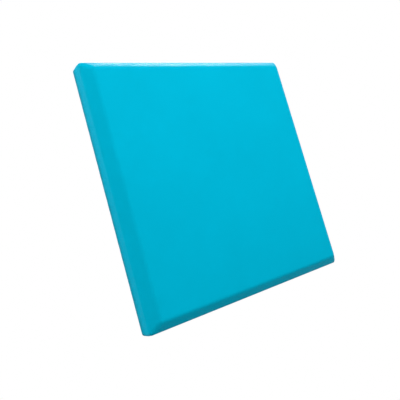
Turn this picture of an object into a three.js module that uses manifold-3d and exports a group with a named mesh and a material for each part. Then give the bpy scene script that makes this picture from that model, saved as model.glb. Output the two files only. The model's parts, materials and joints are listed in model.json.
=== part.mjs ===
// A square acoustic foam panel with a bevelled front edge. A stretched cloth cover goes over a bevelled
// foam slab, a mitred batten frame and its foam infill, and is stapled to the back of the frame. The panel
// hangs by two D-rings on wall hooks, and four rubber bumpers stand it off the wall.
//
// The panel is drawn in its own frame, in millimetres: x to the right, y up and z from the back of the
// cover out to the face, with the middle of the panel at x = 0 and y = 0. The last group stands it up.

import * as THREE from 'three';
import { mergeVertices } from 'three/addons/utils/BufferGeometryUtils.js';
import Module from 'manifold-3d';

// Outer form
const PANEL_WIDTH = 500;
const PANEL_HEIGHT = 500;
const PANEL_DEPTH = 50;
const BEVEL_WIDTH = 18;
const BEVEL_DEPTH = 18;
const WALL_CREASE_RADIUS = 6;
const FACE_CREASE_RADIUS = 11;
const CORNER_RADIUS = 4;

// Room left between pieces that touch
const SEAT_GAP = 0.3;

// Cover and back cloth
const COVER_THICKNESS = 0.8;
const RETURN_SET_BACK = 3;
const BACK_CLOTH_THICKNESS = 0.5;
const BACK_CLOTH_LAP = 10;

// Frame rails, and the upright edge of the foam face between them and the bevel
const RAIL_WIDTH = 28;
const FOAM_EDGE = 1.8;

// Corner braces
const BRACE_LEG = 50;
const BRACE_WIDTH = 14;
const BRACE_THICKNESS = 1.6;
const BRACE_HOLE_PITCH = 20;

// Screws
const SCREW_CORE_DIAMETER = 3.4;
const SCREW_HEAD_DIAMETER = 7;
const SCREW_TIP_LENGTH = 4;
const BRACE_SCREW_LENGTH = 16;
const STRAP_SCREW_LENGTH = 20;
const PAN_HEAD_HEIGHT = 2.2;
const PAN_SHOULDER_SHARE = 1 / 3;
const RECESS_SPAN = 3.6;
const RECESS_SLOT = 0.8;
const RECESS_DEPTH = 1.1;

// Staples
const STAPLE_CROWN = 10;
const STAPLE_WIRE_WIDTH = 1.2;
const STAPLE_WIRE_THICKNESS = 0.6;
const STAPLE_LEG = 8;
const STAPLES_PER_SIDE = 4;

// Hangers
const HANGER_DROP = 100;
const STRAP_WIDTH = 14;
const STRAP_LENGTH = 40;
const STRAP_THICKNESS = 1.2;
const STRAP_FIRST_HOLE = 10;
const STRAP_HOLE_PITCH = 16;
const STRAP_CURL_SWEEP = THREE.MathUtils.degToRad(285);
const RING_WIRE_DIAMETER = 2.5;
const RING_WIDTH = 24.5;
const RING_HEIGHT = 18;
const RING_CORNER_RADIUS = 3;
const RING_SEAM = 0.4;

// Bumpers
const BUMPER_DIAMETER = 18;
const BUMPER_THICKNESS = 6;
const BUMPER_EDGE = 1.2;
const BUMPER_INSET = 40;

// How finely round forms are divided, and how far a cutter runs past what it cuts
const CREASE_SEGMENTS = 3;
const ROUND_SEGMENTS = 12;
const BUMPER_SEGMENTS = 24;
const RING_SIDES = 8;
const RING_PATH_POINTS = 48;
const RING_STEPS = 64;
const OVERRUN = 1;

// Places that follow from the sizes above
const QUARTER_TURN = Math.PI / 2;
const BEVEL_TURN = Math.atan2(BEVEL_WIDTH, BEVEL_DEPTH);
const SKIN = COVER_THICKNESS + SEAT_GAP;
const BACK_CLOTH_BACK = SKIN;
const FRAME_BACK = BACK_CLOTH_BACK + BACK_CLOTH_THICKNESS + SEAT_GAP;
const FOAM_FACE_BACK = PANEL_DEPTH - BEVEL_DEPTH - FOAM_EDGE;
const FRAME_FRONT = FOAM_FACE_BACK - SEAT_GAP;
const FRAME_HALF_WIDTH = PANEL_WIDTH / 2 - SKIN;
const FRAME_HALF_HEIGHT = PANEL_HEIGHT / 2 - SKIN;
const OPENING_HALF_WIDTH = FRAME_HALF_WIDTH - RAIL_WIDTH;
const OPENING_HALF_HEIGHT = FRAME_HALF_HEIGHT - RAIL_WIDTH;
const RAIL_CENTRE_INSET = SKIN + RAIL_WIDTH / 2;
const COVER_RETURN = SKIN + RAIL_WIDTH - RETURN_SET_BACK;
const BACK_CLOTH_INSET = SKIN + RAIL_WIDTH - BACK_CLOTH_LAP;
const STAPLE_INSET = (BACK_CLOTH_INSET + COVER_RETURN) / 2;
const CURL_INNER_RADIUS = RING_WIRE_DIAMETER / 2 + SEAT_GAP;
const CURL_OUTER_RADIUS = CURL_INNER_RADIUS + STRAP_THICKNESS;
const RING_AXIS_X = PANEL_WIDTH / 2 - RAIL_CENTRE_INSET;
const RING_AXIS_Y = PANEL_HEIGHT / 2 - HANGER_DROP;
const RING_AXIS_Z = -SEAT_GAP - CURL_OUTER_RADIUS;
const RING_LEAN = Math.asin((CURL_OUTER_RADIUS - RING_WIRE_DIAMETER / 2) / RING_HEIGHT);
const HOOK_HEIGHT = RING_AXIS_Y + (RING_HEIGHT - RING_WIRE_DIAMETER / 2) * Math.cos(RING_LEAN);
const WALL_STAND_OFF = SEAT_GAP + BUMPER_THICKNESS;

const wasm = await Module();
wasm.setup();

const MATERIALS = {
  cover: new THREE.MeshStandardMaterial({ color: '#02b4d4', roughness: 0.85, metalness: 0 }),
  foam: new THREE.MeshStandardMaterial({ color: '#4a4d50', roughness: 0.95, metalness: 0 }),
  timber: new THREE.MeshStandardMaterial({ color: '#d3ad74', roughness: 0.7, metalness: 0 }),
  backCloth: new THREE.MeshStandardMaterial({ color: '#1d1e20', roughness: 0.95, metalness: 0 }),
  zincSteel: new THREE.MeshStandardMaterial({ color: '#b9bcc0', roughness: 0.4, metalness: 1 }),
  nickelSteel: new THREE.MeshStandardMaterial({ color: '#c9c6bf', roughness: 0.25, metalness: 1 }),
  stapleWire: new THREE.MeshStandardMaterial({ color: '#a9abad', roughness: 0.35, metalness: 1 }),
  rubber: new THREE.MeshStandardMaterial({ color: '#222325', roughness: 0.8, metalness: 0 }),
};

// Solids: closed geometries that can be joined and cut

function solid(geometry) {
  const bare = geometry.clone();
  bare.deleteAttribute('normal');
  bare.deleteAttribute('uv');
  const merged = mergeVertices(bare);
  const mesh = new wasm.Mesh({
    numProp: 3,
    vertProperties: new Float32Array(merged.attributes.position.array),
    triVerts: new Uint32Array(merged.index.array),
  });
  return new wasm.Manifold(mesh);
}

function geometryOf(manifold) {
  const mesh = manifold.getMesh();
  const geometry = new THREE.BufferGeometry();
  geometry.setAttribute('position', new THREE.BufferAttribute(mesh.vertProperties, mesh.numProp));
  geometry.setIndex(new THREE.BufferAttribute(mesh.triVerts, 1));
  geometry.computeVertexNormals();
  return geometry;
}

function cut(body, cutters) {
  return cutters.reduce((rest, cutter) => rest.subtract(cutter), body);
}

function slab(shape, back, front, segments = ROUND_SEGMENTS) {
  const options = { depth: front - back, bevelEnabled: false, curveSegments: segments };
  return new THREE.ExtrudeGeometry(shape, options).translate(0, 0, back);
}

function block(width, height, back, front) {
  const depth = front - back;
  return new THREE.BoxGeometry(width, height, depth).translate(0, 0, back + depth / 2);
}

// A turned body whose axis is z: each point of the outline is a radius and a place on z
function turned(outline, segments) {
  const points = outline.map(([radius, place]) => new THREE.Vector2(radius, place));
  return new THREE.LatheGeometry(points, segments).rotateX(QUARTER_TURN);
}

// The panel's sides and corners: a side's own frame has x along it and y outwards

const SIDES = [
  { name: 'top', turn: 0, length: PANEL_WIDTH, reach: PANEL_HEIGHT / 2 },
  { name: 'left', turn: QUARTER_TURN, length: PANEL_HEIGHT, reach: PANEL_WIDTH / 2 },
  { name: 'bottom', turn: 2 * QUARTER_TURN, length: PANEL_WIDTH, reach: PANEL_HEIGHT / 2 },
  { name: 'right', turn: 3 * QUARTER_TURN, length: PANEL_HEIGHT, reach: PANEL_WIDTH / 2 },
];

// A corner's own frame has its origin at the frame's outer corner, with the frame at negative x and y
const CORNERS = [
  { name: 'top_right', turn: 0, x: FRAME_HALF_WIDTH, y: FRAME_HALF_HEIGHT },
  { name: 'top_left', turn: QUARTER_TURN, x: -FRAME_HALF_WIDTH, y: FRAME_HALF_HEIGHT },
  { name: 'bottom_left', turn: 2 * QUARTER_TURN, x: -FRAME_HALF_WIDTH, y: -FRAME_HALF_HEIGHT },
  { name: 'bottom_right', turn: 3 * QUARTER_TURN, x: FRAME_HALF_WIDTH, y: -FRAME_HALF_HEIGHT },
];

const HANGERS = [
  { name: 'left', x: -RING_AXIS_X },
  { name: 'right', x: RING_AXIS_X },
];

const STAPLE_SHARES = Array.from(
  { length: STAPLES_PER_SIDE },
  (_, index) => (index + 1 / 2) / STAPLES_PER_SIDE - 1 / 2,
);

function onCorner(geometry, corner) {
  return geometry.rotateZ(corner.turn).translate(corner.x, corner.y, 0);
}

function onSide(geometry, side) {
  return geometry.rotateZ(side.turn);
}

// The bevelled form: the panel's section along each way, crossed, with its upright corners rounded

function section(halfWidth, inset) {
  const wallTop = PANEL_DEPTH - BEVEL_DEPTH - WALL_CREASE_RADIUS * Math.tan(BEVEL_TURN / 2);
  const faceEnd = halfWidth - BEVEL_WIDTH;
  const wallCentre = halfWidth - WALL_CREASE_RADIUS;
  const faceCentre = faceEnd - FACE_CREASE_RADIUS * Math.tan((QUARTER_TURN - BEVEL_TURN) / 2);
  const wallRadius = WALL_CREASE_RADIUS - inset;
  const faceRadius = FACE_CREASE_RADIUS - inset;
  const faceHeight = PANEL_DEPTH - FACE_CREASE_RADIUS;
  const shape = new THREE.Shape();
  shape.moveTo(inset - halfWidth, -OVERRUN);
  shape.lineTo(halfWidth - inset, -OVERRUN);
  shape.absarc(wallCentre, wallTop, wallRadius, 0, BEVEL_TURN);
  shape.absarc(faceCentre, faceHeight, faceRadius, BEVEL_TURN, QUARTER_TURN);
  shape.absarc(-faceCentre, faceHeight, faceRadius, QUARTER_TURN, Math.PI - BEVEL_TURN);
  shape.absarc(-wallCentre, wallTop, wallRadius, Math.PI - BEVEL_TURN, Math.PI);
  return shape;
}

function roundedOutline(halfWidth, halfHeight, radius) {
  const x = halfWidth - radius;
  const y = halfHeight - radius;
  const shape = new THREE.Shape();
  shape.absarc(x, y, radius, 0, QUARTER_TURN);
  shape.absarc(-x, y, radius, QUARTER_TURN, 2 * QUARTER_TURN);
  shape.absarc(-x, -y, radius, 2 * QUARTER_TURN, 3 * QUARTER_TURN);
  shape.absarc(x, -y, radius, 3 * QUARTER_TURN, 4 * QUARTER_TURN);
  return shape;
}

function panelOutline(inset, back, front) {
  const shape = roundedOutline(PANEL_WIDTH / 2 - inset, PANEL_HEIGHT / 2 - inset, CORNER_RADIUS - inset);
  return solid(slab(shape, back, front, CREASE_SEGMENTS));
}

function bevelledForm(inset, back) {
  const tall = PANEL_HEIGHT + 2 * OVERRUN;
  const wide = PANEL_WIDTH + 2 * OVERRUN;
  const across = slab(section(PANEL_WIDTH / 2, inset), -tall / 2, tall / 2, CREASE_SEGMENTS);
  const upright = slab(section(PANEL_HEIGHT / 2, inset), -wide / 2, wide / 2, CREASE_SEGMENTS);
  across.rotateX(QUARTER_TURN);
  upright.rotateX(QUARTER_TURN).rotateZ(QUARTER_TURN);
  const form = solid(across).intersect(solid(upright));
  return form.intersect(panelOutline(inset, back, PANEL_DEPTH + OVERRUN));
}

// Screws, along z with the head's outer face at z = 0 and the point at positive z

function screwOutline(headOutline, length, grow) {
  const core = SCREW_CORE_DIAMETER / 2 + grow;
  return [
    ...headOutline,
    [core, length - SCREW_TIP_LENGTH],
    [0, length + grow],
  ];
}

function countersunkHead(grow) {
  const core = SCREW_CORE_DIAMETER / 2 + grow;
  const head = SCREW_HEAD_DIAMETER / 2 + grow;
  return [[0, 0], [head, 0], [core, head - core]];
}

function panHead(grow) {
  const core = SCREW_CORE_DIAMETER / 2 + grow;
  const head = SCREW_HEAD_DIAMETER / 2 + grow;
  const shoulder = PAN_SHOULDER_SHARE * PAN_HEAD_HEIGHT;
  const dome = head - shoulder;
  return [[0, 0], [dome, 0], [head, shoulder], [head, PAN_HEAD_HEIGHT], [core, PAN_HEAD_HEIGHT]];
}

function crossRecess() {
  const arm = block(RECESS_SPAN, RECESS_SLOT, -OVERRUN, RECESS_DEPTH);
  const crossed = arm.clone().rotateZ(QUARTER_TURN);
  return solid(arm).add(solid(crossed));
}

function screw(headOutline, length) {
  return cut(solid(turned(screwOutline(headOutline, length, 0), ROUND_SEGMENTS)), [crossRecess()]);
}

function screwHole(headOutline, length) {
  return turned(screwOutline(headOutline, length, SEAT_GAP), ROUND_SEGMENTS);
}

// Corner braces

const BRACE_MARGIN = (RAIL_WIDTH - BRACE_WIDTH) / 2;

function braceOutline(grow) {
  const outer = -BRACE_MARGIN + grow;
  const inner = -BRACE_MARGIN - BRACE_WIDTH - grow;
  const middle = -RAIL_WIDTH / 2;
  const radius = BRACE_WIDTH / 2 + grow;
  const end = -BRACE_MARGIN - BRACE_LEG + BRACE_WIDTH / 2;
  const shape = new THREE.Shape();
  shape.moveTo(outer, outer);
  shape.lineTo(end, outer);
  shape.absarc(end, middle, radius, QUARTER_TURN, 3 * QUARTER_TURN);
  shape.lineTo(inner, inner);
  shape.absarc(middle, end, radius, 2 * QUARTER_TURN, 4 * QUARTER_TURN);
  return shape;
}

function braceHolePlaces() {
  const middle = -RAIL_WIDTH / 2;
  const far = -BRACE_MARGIN - BRACE_LEG + BRACE_WIDTH / 2;
  const near = far + BRACE_HOLE_PITCH;
  return [[near, middle], [far, middle], [middle, near], [middle, far]];
}

function braceHoles(corner) {
  return braceHolePlaces().map(([x, y]) => {
    const hole = screwHole(countersunkHead(SEAT_GAP), BRACE_SCREW_LENGTH).translate(x, y, FRAME_BACK);
    return solid(onCorner(hole, corner));
  });
}

function bracePocket(corner) {
  const depth = FRAME_BACK + BRACE_THICKNESS + SEAT_GAP;
  return solid(onCorner(slab(braceOutline(SEAT_GAP), FRAME_BACK - OVERRUN, depth, CREASE_SEGMENTS), corner));
}

function cornerBrace(corner) {
  const plate = slab(braceOutline(0), FRAME_BACK, FRAME_BACK + BRACE_THICKNESS, CREASE_SEGMENTS);
  return cut(solid(onCorner(plate, corner)), braceHoles(corner));
}

function braceScrew(corner, [x, y]) {
  const body = screw(countersunkHead(0), BRACE_SCREW_LENGTH);
  return onCorner(geometryOf(body).translate(x, y, FRAME_BACK), corner);
}

// Staples, with the crown lying on the cover's return and both legs in the rail

function stapleLegs(side, share, grow) {
  const x = share * side.length;
  const y = side.reach - STAPLE_INSET;
  const reach = (STAPLE_CROWN - STAPLE_WIRE_THICKNESS) / 2;
  return [x - reach, x + reach].map((place) => {
    const width = STAPLE_WIRE_THICKNESS + 2 * grow;
    const height = STAPLE_WIRE_WIDTH + 2 * grow;
    return onSide(block(width, height, -SEAT_GAP - grow, STAPLE_LEG + grow).translate(place, y, 0), side);
  });
}

function stapleHoles(side) {
  return STAPLE_SHARES.flatMap((share) => stapleLegs(side, share, SEAT_GAP)).map(solid);
}

function staple(side, share) {
  const outer = STAPLE_CROWN / 2;
  const inner = outer - STAPLE_WIRE_THICKNESS;
  const crownTop = SEAT_GAP + STAPLE_WIRE_THICKNESS;
  const point = STAPLE_LEG - STAPLE_WIRE_WIDTH;
  const shape = new THREE.Shape();
  shape.moveTo(-outer, crownTop);
  shape.lineTo(-outer, -point);
  shape.lineTo(-inner, -STAPLE_LEG);
  shape.lineTo(-inner, SEAT_GAP);
  shape.lineTo(inner, SEAT_GAP);
  shape.lineTo(inner, -STAPLE_LEG);
  shape.lineTo(outer, -point);
  shape.lineTo(outer, crownTop);
  const wire = slab(shape, -STAPLE_WIRE_WIDTH / 2, STAPLE_WIRE_WIDTH / 2);
  wire.rotateX(-QUARTER_TURN).translate(share * side.length, side.reach - STAPLE_INSET, 0);
  return onSide(wire, side);
}

// Hangers: a strap screwed to the side rail, curled over the bar of a D-ring. The curl's axis is at the
// origin of the hanger's own frame.

const STRAP_HOLE_DROPS = [STRAP_FIRST_HOLE, STRAP_FIRST_HOLE + STRAP_HOLE_PITCH];

function strapScrewHeadPlace() {
  return CURL_INNER_RADIUS - PAN_HEAD_HEIGHT;
}

function strapHoles() {
  return STRAP_HOLE_DROPS.map((drop) => (
    screwHole(panHead(SEAT_GAP), STRAP_SCREW_LENGTH).translate(0, -drop, strapScrewHeadPlace())
  ));
}

function hangerStrap() {
  const shape = new THREE.Shape();
  shape.moveTo(CURL_INNER_RADIUS, -STRAP_LENGTH);
  shape.lineTo(CURL_OUTER_RADIUS, -STRAP_LENGTH);
  shape.absarc(0, 0, CURL_OUTER_RADIUS, 0, STRAP_CURL_SWEEP);
  shape.absarc(0, 0, CURL_INNER_RADIUS, STRAP_CURL_SWEEP, 0, true);
  const strip = slab(shape, -STRAP_WIDTH / 2, STRAP_WIDTH / 2, CREASE_SEGMENTS * 2);
  strip.rotateY(-QUARTER_TURN);
  const half = STRAP_WIDTH / 2;
  const tongue = new THREE.Shape();
  tongue.moveTo(half, CURL_OUTER_RADIUS + OVERRUN);
  tongue.lineTo(-half, CURL_OUTER_RADIUS + OVERRUN);
  tongue.absarc(0, half - STRAP_LENGTH, half, 2 * QUARTER_TURN, 4 * QUARTER_TURN);
  const reach = CURL_OUTER_RADIUS + OVERRUN;
  const outline = solid(slab(tongue, -reach, reach, CREASE_SEGMENTS * 2));
  return cut(solid(strip).intersect(outline), strapHoles().map(solid));
}

function ringPath() {
  const halfWidth = RING_WIDTH / 2;
  const corner = halfWidth - RING_CORNER_RADIUS;
  const rise = RING_HEIGHT - RING_CORNER_RADIUS;
  const path = new THREE.Path();
  path.moveTo(RING_SEAM / 2, 0);
  path.lineTo(corner, 0);
  path.absarc(corner, RING_CORNER_RADIUS, RING_CORNER_RADIUS, 3 * QUARTER_TURN, 4 * QUARTER_TURN);
  path.absellipse(0, RING_CORNER_RADIUS, halfWidth, rise, 0, 2 * QUARTER_TURN);
  path.absarc(-corner, RING_CORNER_RADIUS, RING_CORNER_RADIUS, 2 * QUARTER_TURN, 3 * QUARTER_TURN);
  path.lineTo(-RING_SEAM / 2, 0);
  const points = path.getSpacedPoints(RING_PATH_POINTS);
  return new THREE.CatmullRomCurve3(points.map(({ x, y }) => new THREE.Vector3(x, y, 0)));
}

function hangerRing() {
  const wire = new THREE.Shape();
  wire.absarc(0, 0, RING_WIRE_DIAMETER / 2, 0, 4 * QUARTER_TURN);
  const options = {
    steps: RING_STEPS,
    curveSegments: RING_SIDES / 2,
    extrudePath: ringPath(),
  };
  return solid(new THREE.ExtrudeGeometry(wire, options));
}

function strapScrew() {
  return geometryOf(screw(panHead(0), STRAP_SCREW_LENGTH));
}

function strapHolesInPanel(hanger) {
  return strapHoles().map((hole) => solid(hole.translate(hanger.x, RING_AXIS_Y, RING_AXIS_Z)));
}

// Frame, foam and cloths

function mitredRail(side) {
  const outer = side.length / 2 - SKIN;
  const mitreGap = SEAT_GAP / Math.SQRT2;
  const front = side.reach - SKIN;
  const shape = new THREE.Shape();
  shape.moveTo(mitreGap - outer, front);
  shape.lineTo(RAIL_WIDTH + mitreGap - outer, front - RAIL_WIDTH);
  shape.lineTo(outer - RAIL_WIDTH - mitreGap, front - RAIL_WIDTH);
  shape.lineTo(outer - mitreGap, front);
  const blank = solid(onSide(slab(shape, FRAME_BACK, FRAME_FRONT), side));
  const rounded = blank.intersect(panelOutline(SKIN, FRAME_BACK - OVERRUN, FRAME_FRONT + OVERRUN));
  const fixings = [
    ...CORNERS.map(bracePocket),
    ...CORNERS.flatMap(braceHoles),
    ...HANGERS.flatMap(strapHolesInPanel),
    ...stapleHoles(side),
  ];
  return cut(rounded, fixings);
}

function foamFace() {
  return bevelledForm(SKIN, FOAM_FACE_BACK);
}

function foamInfill() {
  const width = 2 * (OPENING_HALF_WIDTH - SEAT_GAP);
  const height = 2 * (OPENING_HALF_HEIGHT - SEAT_GAP);
  return block(width, height, FRAME_BACK, FRAME_FRONT);
}

function backCloth() {
  const width = PANEL_WIDTH - 2 * BACK_CLOTH_INSET;
  const height = PANEL_HEIGHT - 2 * BACK_CLOTH_INSET;
  const sheet = block(width, height, BACK_CLOTH_BACK, BACK_CLOTH_BACK + BACK_CLOTH_THICKNESS);
  return cut(solid(sheet), SIDES.flatMap(stapleHoles));
}

function clothCover() {
  const width = PANEL_WIDTH - 2 * COVER_RETURN;
  const height = PANEL_HEIGHT - 2 * COVER_RETURN;
  const window = solid(block(width, height, -OVERRUN, COVER_THICKNESS + OVERRUN));
  const shell = bevelledForm(0, 0).subtract(bevelledForm(COVER_THICKNESS, COVER_THICKNESS));
  const fixings = [...HANGERS.flatMap(strapHolesInPanel), ...SIDES.flatMap(stapleHoles)];
  return cut(shell, [window, ...fixings]);
}

function bumper() {
  const radius = BUMPER_DIAMETER / 2;
  const outline = [
    [0, -SEAT_GAP - BUMPER_THICKNESS],
    [radius - BUMPER_EDGE, -SEAT_GAP - BUMPER_THICKNESS],
    [radius, -SEAT_GAP - BUMPER_THICKNESS + BUMPER_EDGE],
    [radius, -SEAT_GAP],
    [0, -SEAT_GAP],
  ];
  return turned(outline, BUMPER_SEGMENTS);
}

function bumperPlace(corner) {
  const x = PANEL_WIDTH / 2 - RAIL_CENTRE_INSET;
  const y = PANEL_HEIGHT / 2 - BUMPER_INSET;
  return [Math.sign(corner.x) * x, Math.sign(corner.y) * y];
}

// Assembly

const panel = new THREE.Group();

function place(name, geometry, material, parent = panel) {
  const mesh = new THREE.Mesh(geometry, material);
  mesh.name = name;
  parent.add(mesh);
  return mesh;
}

place('cloth_cover', geometryOf(clothCover()), MATERIALS.cover);
place('back_cloth', geometryOf(backCloth()), MATERIALS.backCloth);
place('foam_face', geometryOf(foamFace()), MATERIALS.foam);
place('foam_infill', foamInfill(), MATERIALS.foam);

for (const side of SIDES) {
  place(`rail_${side.name}`, geometryOf(mitredRail(side)), MATERIALS.timber);
  STAPLE_SHARES.forEach((share, index) => {
    place(`staple_${side.name}_${index + 1}`, staple(side, share), MATERIALS.stapleWire);
  });
}

for (const corner of CORNERS) {
  place(`brace_${corner.name}`, geometryOf(cornerBrace(corner)), MATERIALS.zincSteel);
  braceHolePlaces().forEach((hole, index) => {
    place(`brace_screw_${corner.name}_${index + 1}`, braceScrew(corner, hole), MATERIALS.zincSteel);
  });
  const [x, y] = bumperPlace(corner);
  place(`bumper_${corner.name}`, bumper().translate(x, y, 0), MATERIALS.rubber);
}

for (const hanger of HANGERS) {
  const mount = new THREE.Group();
  mount.position.set(hanger.x, RING_AXIS_Y, RING_AXIS_Z);
  panel.add(mount);
  place(`hanger_strap_${hanger.name}`, geometryOf(hangerStrap()), MATERIALS.zincSteel, mount);
  const ring = place(`hanger_ring_${hanger.name}`, geometryOf(hangerRing()), MATERIALS.nickelSteel, mount);
  ring.rotation.x = RING_LEAN;
  STRAP_HOLE_DROPS.forEach((drop, index) => {
    const name = `strap_screw_${hanger.name}_${index + 1}`;
    const driven = place(name, strapScrew(), MATERIALS.nickelSteel, mount);
    driven.position.set(0, -drop, strapScrewHeadPlace());
  });
}

// The panel stands upright with its face to negative Y. The origin is on the wall, midway between the two
// hooks, level with where the rings bear on them.
panel.rotation.x = QUARTER_TURN;
panel.position.set(0, -WALL_STAND_OFF, -HOOK_HEIGHT);

const acousticPanel = new THREE.Group();
acousticPanel.add(panel);

export default acousticPanel;
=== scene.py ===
"""The acoustic foam panel in its studio, each sub-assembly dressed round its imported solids.

Places are worked out in the panel's own space, x to the right, y up and z from the back of the cover out to
the face, with its origin in the middle of the panel's back. PanelSpace turns them into the frame's space.
Every length is in metres.
"""

import json
import logging
import math
import random
from abc import ABC, abstractmethod
from collections.abc import Callable, Iterable, Mapping, Sequence
from dataclasses import dataclass, field
from enum import Enum
from itertools import accumulate
from typing import ClassVar, Union

import bpy
from mathutils import Matrix, Vector, noise


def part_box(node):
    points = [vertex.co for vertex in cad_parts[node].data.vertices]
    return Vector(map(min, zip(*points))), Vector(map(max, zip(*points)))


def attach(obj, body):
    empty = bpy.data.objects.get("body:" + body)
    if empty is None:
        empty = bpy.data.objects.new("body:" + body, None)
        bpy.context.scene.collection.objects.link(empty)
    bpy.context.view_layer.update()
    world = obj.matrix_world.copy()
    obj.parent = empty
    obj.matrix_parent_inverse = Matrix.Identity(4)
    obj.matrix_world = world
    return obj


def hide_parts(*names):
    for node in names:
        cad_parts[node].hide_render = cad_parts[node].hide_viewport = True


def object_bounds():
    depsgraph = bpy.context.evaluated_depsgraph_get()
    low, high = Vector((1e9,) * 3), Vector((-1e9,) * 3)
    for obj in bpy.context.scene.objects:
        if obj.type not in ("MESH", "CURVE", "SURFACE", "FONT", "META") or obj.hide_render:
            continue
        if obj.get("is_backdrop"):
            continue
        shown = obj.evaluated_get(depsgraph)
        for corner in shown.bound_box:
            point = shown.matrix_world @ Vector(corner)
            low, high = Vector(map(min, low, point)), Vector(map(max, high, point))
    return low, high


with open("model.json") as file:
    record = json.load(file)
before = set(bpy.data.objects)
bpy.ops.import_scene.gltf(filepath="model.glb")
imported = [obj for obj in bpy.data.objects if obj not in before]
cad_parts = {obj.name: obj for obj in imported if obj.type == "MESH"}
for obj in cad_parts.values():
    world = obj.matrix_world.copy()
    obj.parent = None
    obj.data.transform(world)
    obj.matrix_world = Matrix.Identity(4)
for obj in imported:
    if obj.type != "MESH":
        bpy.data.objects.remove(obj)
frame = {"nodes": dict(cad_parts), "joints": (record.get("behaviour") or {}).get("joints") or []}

LOG = logging.getLogger("acoustic_panel")

MM = 0.001
HALF_TURN = math.pi
QUARTER_TURN = HALF_TURN / 2
CLOTH_LAYER = "cloth"
CREASE_LAYER = "crease"
# The layer of painted shade that darkens the cover along its back edges
PAINTED_SHADE_LAYER = "soil"
BODY = "panel"

# A length below this is nothing, and a cut edge that turns by more than this is sharp
NEXT_TO_NOTHING = 0.001 * MM
SHARP_TURN = math.radians(35)

# The span that nearly all of a cloud's numbers lie in
CLOUD_SPAN = (0.3, 0.7)

Value = Union["Signal", float, Sequence[float]]
Point = tuple[float, float]
Space = tuple[float, float, float]
Colour = tuple[float, float, float, float]
Placing = Callable[[float, float, float], Vector]


# Shader graphs


def linear(code: str) -> Colour:
    """Turn a display colour into the linear one that shaders work in.

    Args:
        code: The colour as six hexadecimal digits after a hash.

    Returns:
        Its linear red, green and blue, and full alpha.
    """
    shares = [int(code[place:place + 2], 16) / 255 for place in (1, 3, 5)]
    red, green, blue = (
        share / 12.92 if share <= 0.04045 else ((share + 0.055) / 1.055) ** 2.4 for share in shares
    )
    return red, green, blue, 1.0


def shaded(colour: Colour, share: float) -> Colour:
    """Scale a linear colour by a share, keeping its alpha."""
    red, green, blue, alpha = colour
    return red * share, green * share, blue * share, alpha


class Carried(Enum):
    """What an output socket carries."""

    NUMBER = "VALUE"
    VECTOR = "VECTOR"
    COLOUR = "RGBA"
    SHADER = "SHADER"


class Signal:
    """One output socket, on which ordinary arithmetic adds the nodes that work it out."""

    def __init__(self, graph: "Graph", socket: bpy.types.NodeSocket) -> None:
        """Wrap a socket of a graph."""
        self.graph = graph
        self.socket = socket

    @property
    def carries(self) -> Carried:
        """What the socket carries."""
        return Carried(self.socket.type)

    def beside(self, name: str) -> "Signal":
        """Another output of the same node, by name."""
        return Signal(self.graph, self.socket.node.outputs[name])

    def __add__(self, other: Value) -> "Signal":
        """Add a value."""
        return self.graph.arithmetic("ADD", self, other)

    def __radd__(self, other: Value) -> "Signal":
        """Add to a value."""
        return self.graph.arithmetic("ADD", other, self)

    def __sub__(self, other: Value) -> "Signal":
        """Take a value away."""
        return self.graph.arithmetic("SUBTRACT", self, other)

    def __rsub__(self, other: Value) -> "Signal":
        """Take away from a value."""
        return self.graph.arithmetic("SUBTRACT", other, self)

    def __mul__(self, other: Value) -> "Signal":
        """Multiply by a value."""
        return self.graph.arithmetic("MULTIPLY", self, other)

    def __rmul__(self, other: Value) -> "Signal":
        """Multiply a value."""
        return self.graph.arithmetic("MULTIPLY", other, self)

    def __truediv__(self, other: Value) -> "Signal":
        """Divide by a value."""
        return self.graph.arithmetic("DIVIDE", self, other)

    def __rtruediv__(self, other: Value) -> "Signal":
        """Divide a value."""
        return self.graph.arithmetic("DIVIDE", other, self)


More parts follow.
